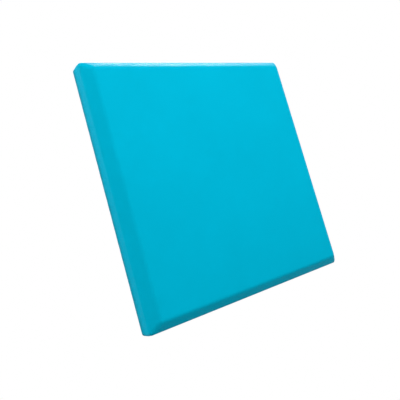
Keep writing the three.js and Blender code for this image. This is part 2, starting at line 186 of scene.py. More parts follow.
class Graph:
    """The node tree of a material or of the world."""

    def __init__(self, tree: bpy.types.NodeTree) -> None:
        """Start an empty graph in a tree."""
        tree.nodes.clear()
        self.tree = tree

    def node(
        self,
        kind: str,
        settings: Mapping[str, object] | None = None,
        sockets: Mapping[str | int, Value] | None = None,
        output: str | int = 0,
    ) -> Signal:
        """Add a node of any type.

        Args:
            kind: The node's type.
            settings: Properties of the node, which are set first.
            sockets: Values or signals for its inputs, by name or by place.
            output: Which output to return, by name or by place.

        Returns:
            The chosen output.
        """
        made = self.tree.nodes.new(kind)
        for name, value in (settings or {}).items():
            setattr(made, name, value)
        for key, value in (sockets or {}).items():
            self._feed(self._found(made.inputs, key), value)
        return Signal(self, self._found(made.outputs, output))

    def close(self, kind: str, surface: Signal) -> None:
        """Link a shader to a new output node of the given type."""
        made = self.tree.nodes.new(kind)
        self.tree.links.new(surface.socket, made.inputs["Surface"])

    def arithmetic(self, operation: str, first: Value, second: Value) -> Signal:
        """Work out a sum on values of any kind.

        Args:
            operation: The operation's name, which the three kinds of node share.
            first: The value on the left.
            second: The value on the right.

        Returns:
            The result, a colour or a vector where either value is one.
        """
        kinds = {value.carries for value in (first, second) if isinstance(value, Signal)}
        if Carried.COLOUR in kinds:
            settings = {"data_type": "RGBA", "blend_type": operation}
            return self.node("ShaderNodeMix", settings, {"Factor": 1.0, "A": first, "B": second}, "Result")
        kind = "ShaderNodeVectorMath" if Carried.VECTOR in kinds else "ShaderNodeMath"
        return self.node(kind, {"operation": operation}, {0: first, 1: second})

    def maths(self, operation: str, *values: Value) -> Signal:
        """Work out a function of numbers, such as a sine or a larger value."""
        return self.node("ShaderNodeMath", {"operation": operation}, dict(enumerate(values)))

    def blend(self, share: Value, first: Value, second: Value) -> Signal:
        """Blend two colours by a share from 0 to 1."""
        sockets = {"Factor": share, "A": first, "B": second}
        return self.node("ShaderNodeMix", {"data_type": "RGBA"}, sockets, "Result")

    def principled(self, sockets: Mapping[str | int, Value]) -> Signal:
        """The shader of an ordinary surface."""
        return self.node("ShaderNodeBsdfPrincipled", None, sockets)

    def place(self) -> Signal:
        """Where on the piece, in the piece's own space."""
        return self.node("ShaderNodeTexCoord", None, None, "Object")

    def cloth_place(self) -> Signal:
        """Where on the flat cloth."""
        return self.node("ShaderNodeUVMap", {"uv_map": CLOTH_LAYER})

    def layer(self, name: str) -> Signal:
        """The numbers that a mesh holds at its points under a name."""
        return self.node("ShaderNodeAttribute", {"attribute_name": name}, None, "Fac")

    def looked_at(self) -> Signal:
        """Tell what the camera sees from light that only bounces about.

        Returns:
            1 for what it sees by itself or through a gloss or a glass, and 0 for the rest.
        """
        camera = self.node("ShaderNodeLightPath", None, None, "Is Camera Ray")
        mirrored = self.maths("MAXIMUM", camera.beside("Is Glossy Ray"), camera.beside("Is Transmission Ray"))
        return self.maths("MAXIMUM", camera, mirrored)

    def parts(self, vector: Signal) -> tuple[Signal, Signal, Signal]:
        """The x, y and z of a vector."""
        across = self.node("ShaderNodeSeparateXYZ", None, {0: vector}, "X")
        return across, across.beside("Y"), across.beside("Z")

    def cloud(self, place: Signal, size: float, detail: float = 2.0, swirl: float = 0.0) -> Signal:
        """Smooth random numbers from 0 to 1 over a surface.

        Args:
            place: Where on the surface.
            size: How far apart its lumps are.
            detail: How many finer layers it has.
            swirl: How far its lumps are drawn into swirls.

        Returns:
            The numbers.
        """
        sockets = {"Vector": place, "Scale": 1 / size, "Detail": detail, "Distortion": swirl}
        return self.node("ShaderNodeTexNoise", None, sockets)

    def cells(self, place: Signal, size: float) -> Signal:
        """How far each place is from the middle of its cell, in cells of a size."""
        return self.node("ShaderNodeTexVoronoi", None, {"Vector": place, "Scale": 1 / size})

    def spread(self, value: Signal, span: Point, onto: Point = (0.0, 1.0)) -> Signal:
        """Stretch a span of numbers onto another, and hold it there.

        Args:
            value: The numbers.
            span: The ends of the span that is stretched.
            onto: Where its ends go.

        Returns:
            The stretched numbers.
        """
        ends = {"From Min": span[0], "From Max": span[1], "To Min": onto[0], "To Max": onto[1]}
        return self.node("ShaderNodeMapRange", {"clamp": True}, {"Value": value, **ends})

    def bump(self, height: Signal, depth: float, strength: float, under: Signal | None = None) -> Signal:
        """Raise a relief on the surface.

        Args:
            height: The relief, from 0 to 1.
            depth: How deep it is.
            strength: How much of it shows.
            under: A relief that it lies on.

        Returns:
            The normal.
        """
        sockets: dict[str | int, Value] = {"Height": height, "Distance": depth, "Strength": strength}
        if under is not None:
            sockets["Normal"] = under
        return self.node("ShaderNodeBump", None, sockets)

    @staticmethod
    def _found(sockets: bpy.types.bpy_prop_collection, key: str | int) -> bpy.types.NodeSocket:
        """Find a socket.

        Args:
            sockets: A node's inputs or outputs.
            key: The socket's place, or its name.

        Returns:
            The socket, of several with one name the one in use.
        """
        if isinstance(key, int):
            return sockets[key]
        return next(socket for socket in sockets if socket.name == key and socket.enabled)

    def _feed(self, socket: bpy.types.NodeSocket, value: Value) -> None:
        """Link a signal to a socket, or set its value.

        Args:
            socket: The input.
            value: What it gets. A number fills every part of a vector or colour.
        """
        if isinstance(value, Signal):
            self.tree.links.new(value.socket, socket)
            return
        if isinstance(value, (int, float)) and socket.type == Carried.VECTOR.value:
            value = (value, value, value)
        if isinstance(value, (int, float)) and socket.type == Carried.COLOUR.value:
            value = (value, value, value, 1.0)
        socket.default_value = value


# Finishes


class Finish(ABC):
    """What a surface is made of. Each finish becomes one material."""

    title: str
    made: ClassVar[dict[str, bpy.types.Material]] = {}

    @abstractmethod
    def surface(self, graph: Graph) -> Signal:
        """Wire the surface's shader and return it."""

    def material(self) -> bpy.types.Material:
        """Find the finish's material, or make it when it is first asked for.

        Returns:
            The material.
        """
        if self.title not in Finish.made:
            fresh = bpy.data.materials.new(self.title)
            fresh.use_nodes = True
            graph = Graph(fresh.node_tree)
            graph.close("ShaderNodeOutputMaterial", self.surface(graph))
            Finish.made[self.title] = fresh
        return Finish.made[self.title]

    def put_on(self, piece: bpy.types.Object) -> None:
        """Give a whole piece this finish.

        Args:
            piece: A piece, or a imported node's object.
        """
        if piece.material_slots:
            for material_slot in piece.material_slots:
                material_slot.material = self.material()
        else:
            piece.data.materials.append(self.material())


@dataclass(frozen=True)
class StretchedCloth(Finish):
    """A fine plain weave of dyed polyester yarn, stretched tight, matt with a soft sheen at a low angle."""

    title: str = "turquoise_weave"
    dye: str = "#00c8ec"
    yarn_pitch: float = 1.2 * MM
    yarn_relief: float = 0.2 * MM
    yarn_dip: float = 0.45
    # The gaps between the yarns are darkened with painted shade
    gap_span: Point = (0.0, 0.7)
    gap_shade: float = 0.62
    slub_length: float = 30 * MM
    slub_relief: float = 0.25
    tone_size: float = 140 * MM
    tone_shade: float = 0.96
    # Painted shade along the back edges: how it breaks into patches, and how dark it goes
    patch_size: float = 12 * MM
    patch_span: Point = (0.3, 0.65)
    patch_shares: Point = (0.6, 1.0)
    soil_shade: float = 0.5
    fuzz_size: float = 0.35 * MM
    fuzz_strength: float = 0.3
    weave_strength: float = 0.7
    roughness: float = 0.38
    crown_gloss: float = 0.08
    crease_wear: float = 0.1
    index: float = 1.04
    sheen: float = 0.15
    sheen_roughness: float = 0.2

    def surface(self, graph: Graph) -> Signal:
        """Wire the weave, and the fuzz that stands up along the creases.

        Args:
            graph: The material's graph.

        Returns:
            The shader.
        """
        place = graph.cloth_place()
        crease = graph.layer(CREASE_LAYER)
        height, warp_on_top = self._weave(graph, place)
        slub = self._slub(graph, place, warp_on_top)
        relief = graph.bump(height + self.slub_relief * slub, self.yarn_relief, self.weave_strength)
        fuzz = graph.cloud(place, self.fuzz_size) * (1.0 + crease)
        return graph.principled({
            "Base Color": self._colour(graph, place, height, slub),
            "Roughness": self.roughness - self.crown_gloss * height + self.crease_wear * crease,
            "IOR": self.index,
            "Sheen Weight": self.sheen,
            "Sheen Roughness": self.sheen_roughness,
            "Normal": graph.bump(fuzz, self.yarn_relief, self.fuzz_strength, relief),
        })

    def _weave(self, graph: Graph, place: Signal) -> tuple[Signal, Signal]:
        """Cross the warp and the weft, each on top in turn.

        Args:
            graph: The material's graph.
            place: Where on the flat cloth.

        Returns:
            The yarns' height, and 1 where the warp is on top and 0 where the weft is.
        """
        across, along, _ = graph.parts(place / self.yarn_pitch)
        warp = graph.maths("ABSOLUTE", graph.maths("SINE", across * HALF_TURN))
        weft = graph.maths("ABSOLUTE", graph.maths("SINE", along * HALF_TURN))
        cell = graph.maths("FLOOR", across) + graph.maths("FLOOR", along)
        warp_on_top = graph.maths("PINGPONG", cell, 1.0)
        warp_height = warp * ((1 - self.yarn_dip) + self.yarn_dip * weft)
        weft_height = weft * ((1 - self.yarn_dip) + self.yarn_dip * warp)
        return weft_height + warp_on_top * (warp_height - weft_height), warp_on_top

    def _slub(self, graph: Graph, place: Signal, warp_on_top: Signal) -> Signal:
        """Make each yarn thicker and thinner along its own length.

        Args:
            graph: The material's graph.
            place: Where on the flat cloth.
            warp_on_top: 1 where the warp is on top.

        Returns:
            How thick the yarn on top is, from 0 to 1.
        """
        yarn_wide, yarn_long = 1 / (2 * self.yarn_pitch), 1 / self.slub_length
        warp_slub = graph.cloud(place * (yarn_wide, yarn_long, 1.0), 1.0, 1.0)
        weft_slub = graph.cloud(place * (yarn_long, yarn_wide, 1.0), 1.0, 1.0)
        return weft_slub + warp_on_top * (warp_slub - weft_slub)

    def _colour(self, graph: Graph, place: Signal, height: Signal, slub: Signal) -> Signal:
        """Dye the yarn, uneven along each yarn and over the cloth, with painted shade in its gaps and along
        the back edges.

        Args:
            graph: The material's graph.
            place: Where on the flat cloth.
            height: The yarns' height.
            slub: How thick the yarn on top is.

        Returns:
            The colour.
        """
        dye = linear(self.dye)
        # Painted shade in the gaps between the yarns
        yarn = graph.blend(graph.spread(height, self.gap_span), shaded(dye, self.gap_shade), dye)
        uneven = graph.blend(graph.spread(slub, CLOUD_SPAN), yarn * self.tone_shade, yarn)
        tone = graph.spread(graph.cloud(place, self.tone_size), CLOUD_SPAN)
        toned = graph.blend(tone, uneven * self.tone_shade, uneven)
        # Painted shade along the back edges, broken into patches
        patchy = graph.cloud(place, self.patch_size, detail=3.0)
        patches = graph.spread(patchy, self.patch_span, self.patch_shares)
        return graph.blend(graph.layer(PAINTED_SHADE_LAYER) * patches, toned, toned * self.soil_shade)


@dataclass(frozen=True)
class BondedCloth(Finish):
    """Thin non-woven polypropylene: fibres in every direction, held by rows of small bonded points."""

    title: str = "black_non_woven"
    dye: str = "#1d1e20"
    fibre_tint: str = "#34363a"
    bond_pitch: float = 2.2 * MM
    bond_span: Point = (0.35, 0.7)
    bond_shade: float = 0.7
    bond_strength: float = 0.5
    swirl_size: float = 6 * MM
    swirl: float = 3.0
    fibre_size: float = 0.5 * MM
    fibre_span: Point = (0.55, 0.95)
    fibre_strength: float = 0.6
    relief: float = 0.12 * MM
    relief_strength: float = 0.7
    roughness: float = 0.85
    bond_gloss: float = 0.3
    gloss: float = 0.3
    sheen: float = 0.15

    def surface(self, graph: Graph) -> Signal:
        """Wire the bonded points and the fibres between them.

        Args:
            graph: The material's graph.

        Returns:
            The shader.
        """
        place = graph.cloth_place()
        across, along, _ = graph.parts(place * (math.tau / self.bond_pitch))
        bonded = graph.maths("SINE", across + along) * graph.maths("SINE", across - along)
        point = graph.spread(bonded, self.bond_span)
        swirls = graph.cloud(place, self.swirl_size, detail=4.0, swirl=self.swirl)
        fine = graph.cloud(place, self.fibre_size, detail=4.0)
        fibre = graph.spread(swirls + 0.5 * fine, self.fibre_span)
        dye = linear(self.dye)
        matted = graph.blend(fibre * self.fibre_strength, dye, linear(self.fibre_tint))
        return graph.principled({
            "Base Color": graph.blend(point * self.bond_strength, matted, shaded(dye, self.bond_shade)),
            "Roughness": self.roughness - self.bond_gloss * point,
            "Specular IOR Level": self.gloss,
            "Sheen Weight": self.sheen,
            "Normal": graph.bump(fibre - point, self.relief, self.relief_strength),
        })


@dataclass(frozen=True)
class OpenCellFoam(Finish):
    """Cut open-cell foam, a fine net of cell walls round pores darkened with painted shade."""

    title: str = "open_cell_foam"
    wall: str = "#55585c"
    # The pores' colour is painted shade
    pore: str = "#26282b"
    cell_size: float = 1.1 * MM
    tear: float = 0.3
    tear_share: float = 0.6
    wall_span: Point = (0.2, 0.9)
    block_size: float = 60 * MM
    block_tones: Point = (0.9, 1.05)
    relief: float = 0.3 * MM
    relief_strength: float = 0.8
    roughness: float = 0.95
    wall_gloss: float = 0.05
    gloss: float = 0.2

    def surface(self, graph: Graph) -> Signal:
        """Wire the cells and the slow change of tone from the block they were cut from.

        Args:
            graph: The material's graph.

        Returns:
            The shader.
        """
        place = graph.place()
        torn = self.tear * graph.cloud(place, self.tear_share * self.cell_size)
        wall = graph.spread(graph.cells(place, self.cell_size) + torn, self.wall_span)
        tone = graph.spread(graph.cloud(place, self.block_size), CLOUD_SPAN, self.block_tones)
        return graph.principled({
            # The pores between the cell walls take a painted shade
            "Base Color": graph.blend(wall, linear(self.pore), linear(self.wall)) * tone,
            "Roughness": self.roughness - self.wall_gloss * wall,
            "Specular IOR Level": self.gloss,
            "Normal": graph.bump(wall, self.relief, self.relief_strength),
        })


class Grain(Enum):
    """Which way a timber's grain runs in the frame's space, as a stretch along each axis."""

    LEVEL = (0.06, 1.0, 1.0)
    UPRIGHT = (1.0, 1.0, 0.06)


@dataclass(frozen=True)
class PlanedTimber(Finish):
    """Planed softwood, unfinished, with its rings and fine fibre along the rail."""

    title: str
    grain: Grain
    early: str = "#dcb983"
    late: str = "#b98b52"
    ring_pitch: float = 4.5 * MM
    ring_span: Point = (0.1, 1.0)
    ring_strength: float = 0.7
    drift_size: float = 22 * MM
    drift_rings: float = 4.0
    fibre_size: float = 0.7 * MM
    fibre_span: Point = (0.35, 0.7)
    fibre_strength: float = 0.3
    fibre_shade: float = 0.6
    relief: float = 0.08 * MM
    relief_strength: float = 0.6
    roughness: float = 0.7
    grain_roughness: float = 0.1
    gloss: float = 0.35

    def surface(self, graph: Graph) -> Signal:
        """Wire the rings and the fibre.

        Args:
            graph: The material's graph.

        Returns:
            The shader.
        """
        place = graph.place() * self.grain.value
        drift = graph.cloud(place, self.drift_size, detail=3.0)
        across, deep, up = graph.parts(place / self.ring_pitch)
        rings = graph.maths("SINE", (across + deep + up + self.drift_rings * drift) * math.tau)
        late = graph.spread(rings, self.ring_span)
        fibre = graph.cloud(place, self.fibre_size, detail=3.0)
        board = graph.blend(late * self.ring_strength, linear(self.early), linear(self.late))
        strands = graph.spread(fibre, self.fibre_span, (0.0, self.fibre_strength))
        return graph.principled({
            "Base Color": graph.blend(strands, board, shaded(linear(self.late), self.fibre_shade)),
            "Roughness": self.roughness + self.grain_roughness * (fibre - late),
            "Specular IOR Level": self.gloss,
            "Normal": graph.bump(fibre + 0.5 * late, self.relief, self.relief_strength),
        })


@dataclass(frozen=True)
class PlatedSteel(Finish):
    """Plated steel: cloudy where the plate varies, with fine handling scratches."""

    title: str
    plate: str
    dull: str
    roughness: float
    cloud_size: float = 6 * MM
    cloud_roughness: float = 0.12
    scratch_size: float = 0.5 * MM
    scratch_stretch: float = 0.05
    scratch_span: Point = (0.55, 0.75)
    scratch_roughness: float = 0.08
    scratch_depth: float = 0.01 * MM
    scratch_strength: float = 0.5

    def surface(self, graph: Graph) -> Signal:
        """Wire the plate's clouds and scratches.

        Args:
            graph: The material's graph.

        Returns:
            The shader.
        """
        place = graph.place()
        cloudy = graph.spread(graph.cloud(place, self.cloud_size, detail=4.0), CLOUD_SPAN)
        drawn = place * (1.0, 1.0, self.scratch_stretch)
        scratch = graph.spread(graph.cloud(drawn, self.scratch_size, detail=3.0), self.scratch_span)
        return graph.principled({
            "Base Color": graph.blend(cloudy, linear(self.dull), linear(self.plate)),
            "Metallic": 1.0,
            "Roughness": self.roughness + self.cloud_roughness * cloudy + self.scratch_roughness * scratch,
            "Normal": graph.bump(scratch, self.scratch_depth, self.scratch_strength),
        })


@dataclass(frozen=True)
class MouldedRubber(Finish):
    """Soft black rubber with a fine moulded grain and dusty high spots."""

    title: str = "moulded_rubber"
    base: str = "#1c1d1f"
    dusty: str = "#3b3c3e"
    grain_size: float = 0.45 * MM
    grain_depth: float = 0.04 * MM
    grain_strength: float = 0.5
    dust_size: float = 3 * MM
    dust_span: Point = (0.5, 0.8)
    most_dust: float = 0.5
    roughness: float = 0.6
    dust_roughness: float = 0.3
    gloss: float = 0.4

    def surface(self, graph: Graph) -> Signal:
        """Wire the grain and the dust.

        Args:
            graph: The material's graph.

        Returns:
            The shader.
        """
        place = graph.place()
        dusty = graph.cloud(place, self.dust_size, detail=4.0)
        dust = graph.spread(dusty, self.dust_span, (0.0, self.most_dust))
        grain = graph.cells(place, self.grain_size)
        return graph.principled({
            "Base Color": graph.blend(dust, linear(self.base), linear(self.dusty)),
            "Roughness": self.roughness + self.dust_roughness * dust,
            "Specular IOR Level": self.gloss,
            "Normal": graph.bump(grain, self.grain_depth, self.grain_strength),
        })


@dataclass(frozen=True)
class WhiteFloor(Finish):
    """The studio floor: pale, white where the camera or a mirror sees it, with the panel's shadow kept."""

    title: str = "studio_floor"
    bounce: float = 0.3
    seen: float = 0.9
    glow: float = 0.8
    fade: Point = (0.9, 1.5)

    def surface(self, graph: Graph) -> Signal:
        """Wire the floor's paint, and its glow towards its rim for what looks straight at it.

        Args:
            graph: The material's graph.

        Returns:
            The shader.
        """
        from_middle = graph.node("ShaderNodeVectorMath", {"operation": "LENGTH"}, {0: graph.place()}, "Value")
        looked_at = graph.looked_at()
        paint = self.bounce + looked_at * (self.seen - self.bounce)
        painted = graph.node("ShaderNodeBsdfDiffuse", None, {"Color": paint})
        glowing = graph.node("ShaderNodeEmission", None, {"Color": 1.0, "Strength": 1.0})
        rim = graph.spread(from_middle, self.fade, (self.glow, 1.0))
        return graph.node("ShaderNodeMixShader", None, {0: looked_at * rim, 1: painted, 2: glowing})


COVER_CLOTH = StretchedCloth()
BACK_CLOTH = BondedCloth()
FOAM = OpenCellFoam()
LEVEL_TIMBER = PlanedTimber("level_softwood", Grain.LEVEL)
UPRIGHT_TIMBER = PlanedTimber("upright_softwood", Grain.UPRIGHT)
ZINC = PlatedSteel("zinc_plate", "#c9ced6", "#9aa0a8", 0.3)
NICKEL = PlatedSteel("nickel_plate", "#d9d4c8", "#bdb8ac", 0.16)
STAPLE_WIRE = PlatedSteel("galvanised_wire", "#c4c7ca", "#94979a", 0.28, 2 * MM)
RUBBER = MouldedRubber()


# The panel's own space


class Side(Enum):
    """A side of the panel, as quarter turns from the top one. Its own frame has x along it and y outwards."""

    TOP = 0
    LEFT = 1
    BOTTOM = 2
    RIGHT = 3

    @property
    def title(self) -> str:
        """The side's name in the frame's node names."""
        return self.name.lower()

    @property
    def level(self) -> bool:
        """Whether the side runs level."""
        return self in (Side.TOP, Side.BOTTOM)

    def turned(self, along: float, out: float) -> Point:
        """Turn a place in the side's own frame into x and y of the panel.

        Args:
            along: How far along the side from its middle.
            out: How far out from the panel's middle.

        Returns:
            The x and y.
        """
        match self:
            case Side.TOP:
                return along, out
            case Side.LEFT:
                return -out, along
            case Side.BOTTOM:
                return -along, -out
            case _:
                return out, -along

    def own(self, x: float, y: float) -> Point:
        """Turn x and y of the panel into a place in the side's own frame."""
        return Side(-self.value % len(Side)).turned(x, y)


CLOCKWISE = (Side.TOP, Side.RIGHT, Side.BOTTOM, Side.LEFT)


@dataclass(frozen=True)
class PanelSpace:
    """The panel's outer size, and where its own space lies in the frame's."""

    width: float
    height: float
    depth: float
    back: float
    middle: float

    @classmethod
    def measured(cls) -> "PanelSpace":
        """Measure the cover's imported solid.

        Returns:
            The panel's space.
        """
        low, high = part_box("cloth_cover")
        size = high - low
        return cls(size.x, size.z, size.y, high.y, (low.z + high.z) / 2)

    def world(self, x: float, y: float, z: float) -> Vector:
        """A place of the panel in the frame's space."""
        return Vector((x, self.back - z, self.middle + y))

    def direction(self, x: float, y: float, z: float) -> Vector:
        """A direction of the panel in the frame's space."""
        return Vector((x, -z, y))

    def about(self, x: float, y: float, z: float = 0.0) -> Placing:
        """A function that turns places measured from one of the panel's into the frame's space."""
        return lambda across, up, deep: self.world(x + across, y + up, z + deep)

    def own(self, place: Sequence[float]) -> Space:
        """A place of the frame in the panel's own space."""
        return place[0], place[2] - self.middle, self.back - place[1]

    def middle_of(self, node: str) -> Space:
        """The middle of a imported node's box in the panel's own space."""
        low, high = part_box(node)
        return self.own((low + high) / 2)

    def halves(self, side: Side) -> Point:
        """Half the panel's size along a side and out to it."""
        halves = (self.width / 2, self.height / 2)
        return halves if side.level else halves[::-1]


def nodes_named(*starts: str) -> list[str]:
    """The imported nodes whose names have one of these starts, in order."""
    return sorted(name for name in frame["nodes"] if name.startswith(starts))


# Lines and curves


def arc(centre: Point, radius: float, start: float, end: float, steps: int) -> list[Point]:
    """Points on an arc, both ends included."""
    angles = [start + (end - start) * step / steps for step in range(steps + 1)]
    return [(centre[0] + radius * math.cos(a), centre[1] + radius * math.sin(a)) for a in angles]


def round_section(diameter: float, sides: int) -> list[Point]:
    """A circle of a given number of sides."""
    return arc((0.0, 0.0), diameter / 2, 0.0, math.tau, sides)[:-1]


def rounded_section(width: float, height: float, edge: float, steps: int = 3) -> list[Point]:
    """Draw a rectangle with rounded edges.

    Args:
        width: Its full width.
        height: Its full height.
        edge: The radius of its edges.
        steps: How many steps each edge has.

    Returns:
        Its points, anticlockwise round its middle.
    """
    across, up = width / 2 - edge, height / 2 - edge
    centres = [(across, up), (-across, up), (-across, -up), (across, -up)]
    return [
        point
        for turn, centre in enumerate(centres)
        for point in arc(centre, edge, turn * QUARTER_TURN, (turn + 1) * QUARTER_TURN, steps)
    ]


def divided(line: Sequence[Point], longest: float) -> list[Point]:
    """Divide a line's stretches.

    Args:
        line: Its points.
        longest: The longest that a stretch may be.

    Returns:
        The points with others added evenly between them.
    """
    points = [line[0]]
    for start, end in zip(line, line[1:]):
        count = max(1, math.ceil(math.dist(start, end) / longest))
        for step in range(1, count + 1):
            share = step / count
            points.append((start[0] + (end[0] - start[0]) * share, start[1] + (end[1] - start[1]) * share))
    return points


def distances(line: Sequence[Point]) -> list[float]:
    """How far along a line each of its points is."""
    stretches = (math.dist(start, end) for start, end in zip(line, line[1:]))
    return list(accumulate(stretches, initial=0.0))


def smooth_step(value: float, low: float, high: float) -> float:
    """Rise from 0 at low to 1 at high with soft ends."""
    share = min(1.0, max(0.0, (value - low) / (high - low)))
    return share * share * (3 - 2 * share)


def bell(value: float, middle: float, reach: float) -> float:
    """Fall away softly from 1 in the middle, mostly within a reach."""
    return math.exp(-(((value - middle) / reach) ** 2))


def crowded_shares(count: int, crowding: float) -> list[float]:
    """Shares from -1 to 1 that lie closer together towards both ends."""
    evenly = [2 * step / count - 1 for step in range(count + 1)]
    return [share * (1 - crowding) + crowding * (3 * share - share ** 3) / 2 for share in evenly]


class NoiseLayer(Enum):
    """Which layer of the noise a relief is read from, so that no two reliefs look alike."""

    FACE = 0.37
    BACK = 2.2
    RAW_EDGE = 0.5
    RAW_EDGE_FINE = 4.5


def lumps(across: float, up: float, layer: NoiseLayer) -> float:
    """A smooth random number from -1 to 1 that changes within a step of 1."""
    return noise.noise(Vector((across, up, layer.value)))


# Meshes


@dataclass
class Surface:
    """Points and faces of one mesh in the frame's space, with what its finish needs to know."""

    points: list[Vector] = field(default_factory=list)
    faces: list[tuple[int, ...]] = field(default_factory=list)
    cloth: list[Point] = field(default_factory=list)
    crease: list[float] = field(default_factory=list)
    # How much painted shade darkens each point along the back edge
    soil: list[float] = field(default_factory=list)
    lift: list[float] = field(default_factory=list)

    def add(self, point: Vector, lift: float = 0.0, crease: float = 0.0, soil: float = 0.0) -> int:
        """Add a point.

        Args:
            point: Where it is.
            lift: How far it rises along the surface's normal once the faces are known.
            crease: How near a crease it is, from 0 to 1.
            soil: How much painted shade darkens it along the back edge, from 0 to 1.

        Returns:
            Its number.
        """
        self.points.append(point)
        self.lift.append(lift)
        self.crease.append(crease)
        self.soil.append(soil)
        return len(self.points) - 1

    def face(self, corners: Sequence[int], cloth: Sequence[Point] = ()) -> None:
        """Add a face, and where its corners are on the flat cloth."""
        self.faces.append(tuple(corners))
        self.cloth.extend(cloth)

    def enclose(self, count: int) -> None:
        """Add the faces of a tube, and of its caps, round points that were added loop by loop.

        Args:
            count: How many points each loop has.
        """
        last = len(self.points) - count
        for here in range(0, last, count):
            for corner in range(count):
                after = (corner + 1) % count
                self.face([here + corner, here + after, here + count + after, here + count + corner])
        self.face(range(count)[::-1])
        self.face(range(last, last + count))

    def made(self, name: str) -> bpy.types.Object:
        """Make the object.

        Args:
            name: The piece's name.

        Returns:
            The object, linked to the scene, its faces shading into each other.
        """
        mesh = bpy.data.meshes.new(name)
        mesh.from_pydata(self.points, [], self.faces)
        if self.cloth:
            layer = mesh.uv_layers.new(name=CLOTH_LAYER)
            layer.data.foreach_set("uv", [number for place in self.cloth for number in place])
        for layer_name, values in ((CREASE_LAYER, self.crease), (PAINTED_SHADE_LAYER, self.soil)):
            if any(values):
                mesh.attributes.new(layer_name, "FLOAT", "POINT").data.foreach_set("value", values)
        mesh.polygons.foreach_set("use_smooth", [True] * len(mesh.polygons))
        mesh.update()
        if any(self.lift):
            normals = [vertex.normal.copy() for vertex in mesh.vertices]
            lifted = [point + normal * lift for point, normal, lift in zip(self.points, normals, self.lift)]
            mesh.vertices.foreach_set("co", [number for point in lifted for number in point])
            mesh.update()
        piece = bpy.data.objects.new(name, mesh)
        bpy.context.scene.collection.objects.link(piece)
        return piece


def thickened(piece: bpy.types.Object, thickness: float) -> None:
    """Give a sheet its thickness.

    Args:
        piece: The sheet.
        thickness: How thick it is, behind the side that its faces look to.
    """
    modifier = piece.modifiers.new("thickness", "SOLIDIFY")
    modifier.thickness = thickness
    modifier.offset = -1.0
    modifier.use_even_offset = True


def cut_out(piece: bpy.types.Object, cutter: bpy.types.Object) -> None:
    """Cut one solid out of another, and keep the result in its mesh.

    Args:
        piece: What is cut.
        cutter: What is taken away, and then deleted.
    """
    modifier = piece.modifiers.new("cut", "BOOLEAN")
    modifier.object = cutter
    modifier.operation = "DIFFERENCE"
    modifier.solver = "EXACT"
    evaluated = piece.evaluated_get(bpy.context.evaluated_depsgraph_get())
    mesh = bpy.data.meshes.new_from_object(evaluated)
    mesh.set_sharp_from_angle(angle=SHARP_TURN)
    piece.modifiers.clear()
    piece.data = mesh
    bpy.data.objects.remove(cutter)


def settled(piece: bpy.types.Object, finish: Finish, body: str, slot: str, *nodes: str) -> bpy.types.Object:
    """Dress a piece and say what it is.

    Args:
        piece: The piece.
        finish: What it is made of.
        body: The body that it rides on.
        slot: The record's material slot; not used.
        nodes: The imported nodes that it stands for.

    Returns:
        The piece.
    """
    finish.put_on(piece)
    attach(piece, body)
    if nodes:
        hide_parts(*nodes)
    LOG.info("%s: %d points, rides on %s", piece.name, len(piece.data.vertices), body)
    return piece


@dataclass(frozen=True)
class Ring:
    """One ring of a form that follows the panel's outline."""

    inset: float
    height: float
    travel: float = 0.0
    corner: float = 0.0
    crease: float = 0.0
    # How much painted shade darkens the ring along the back edge
    soil: float = 0.0


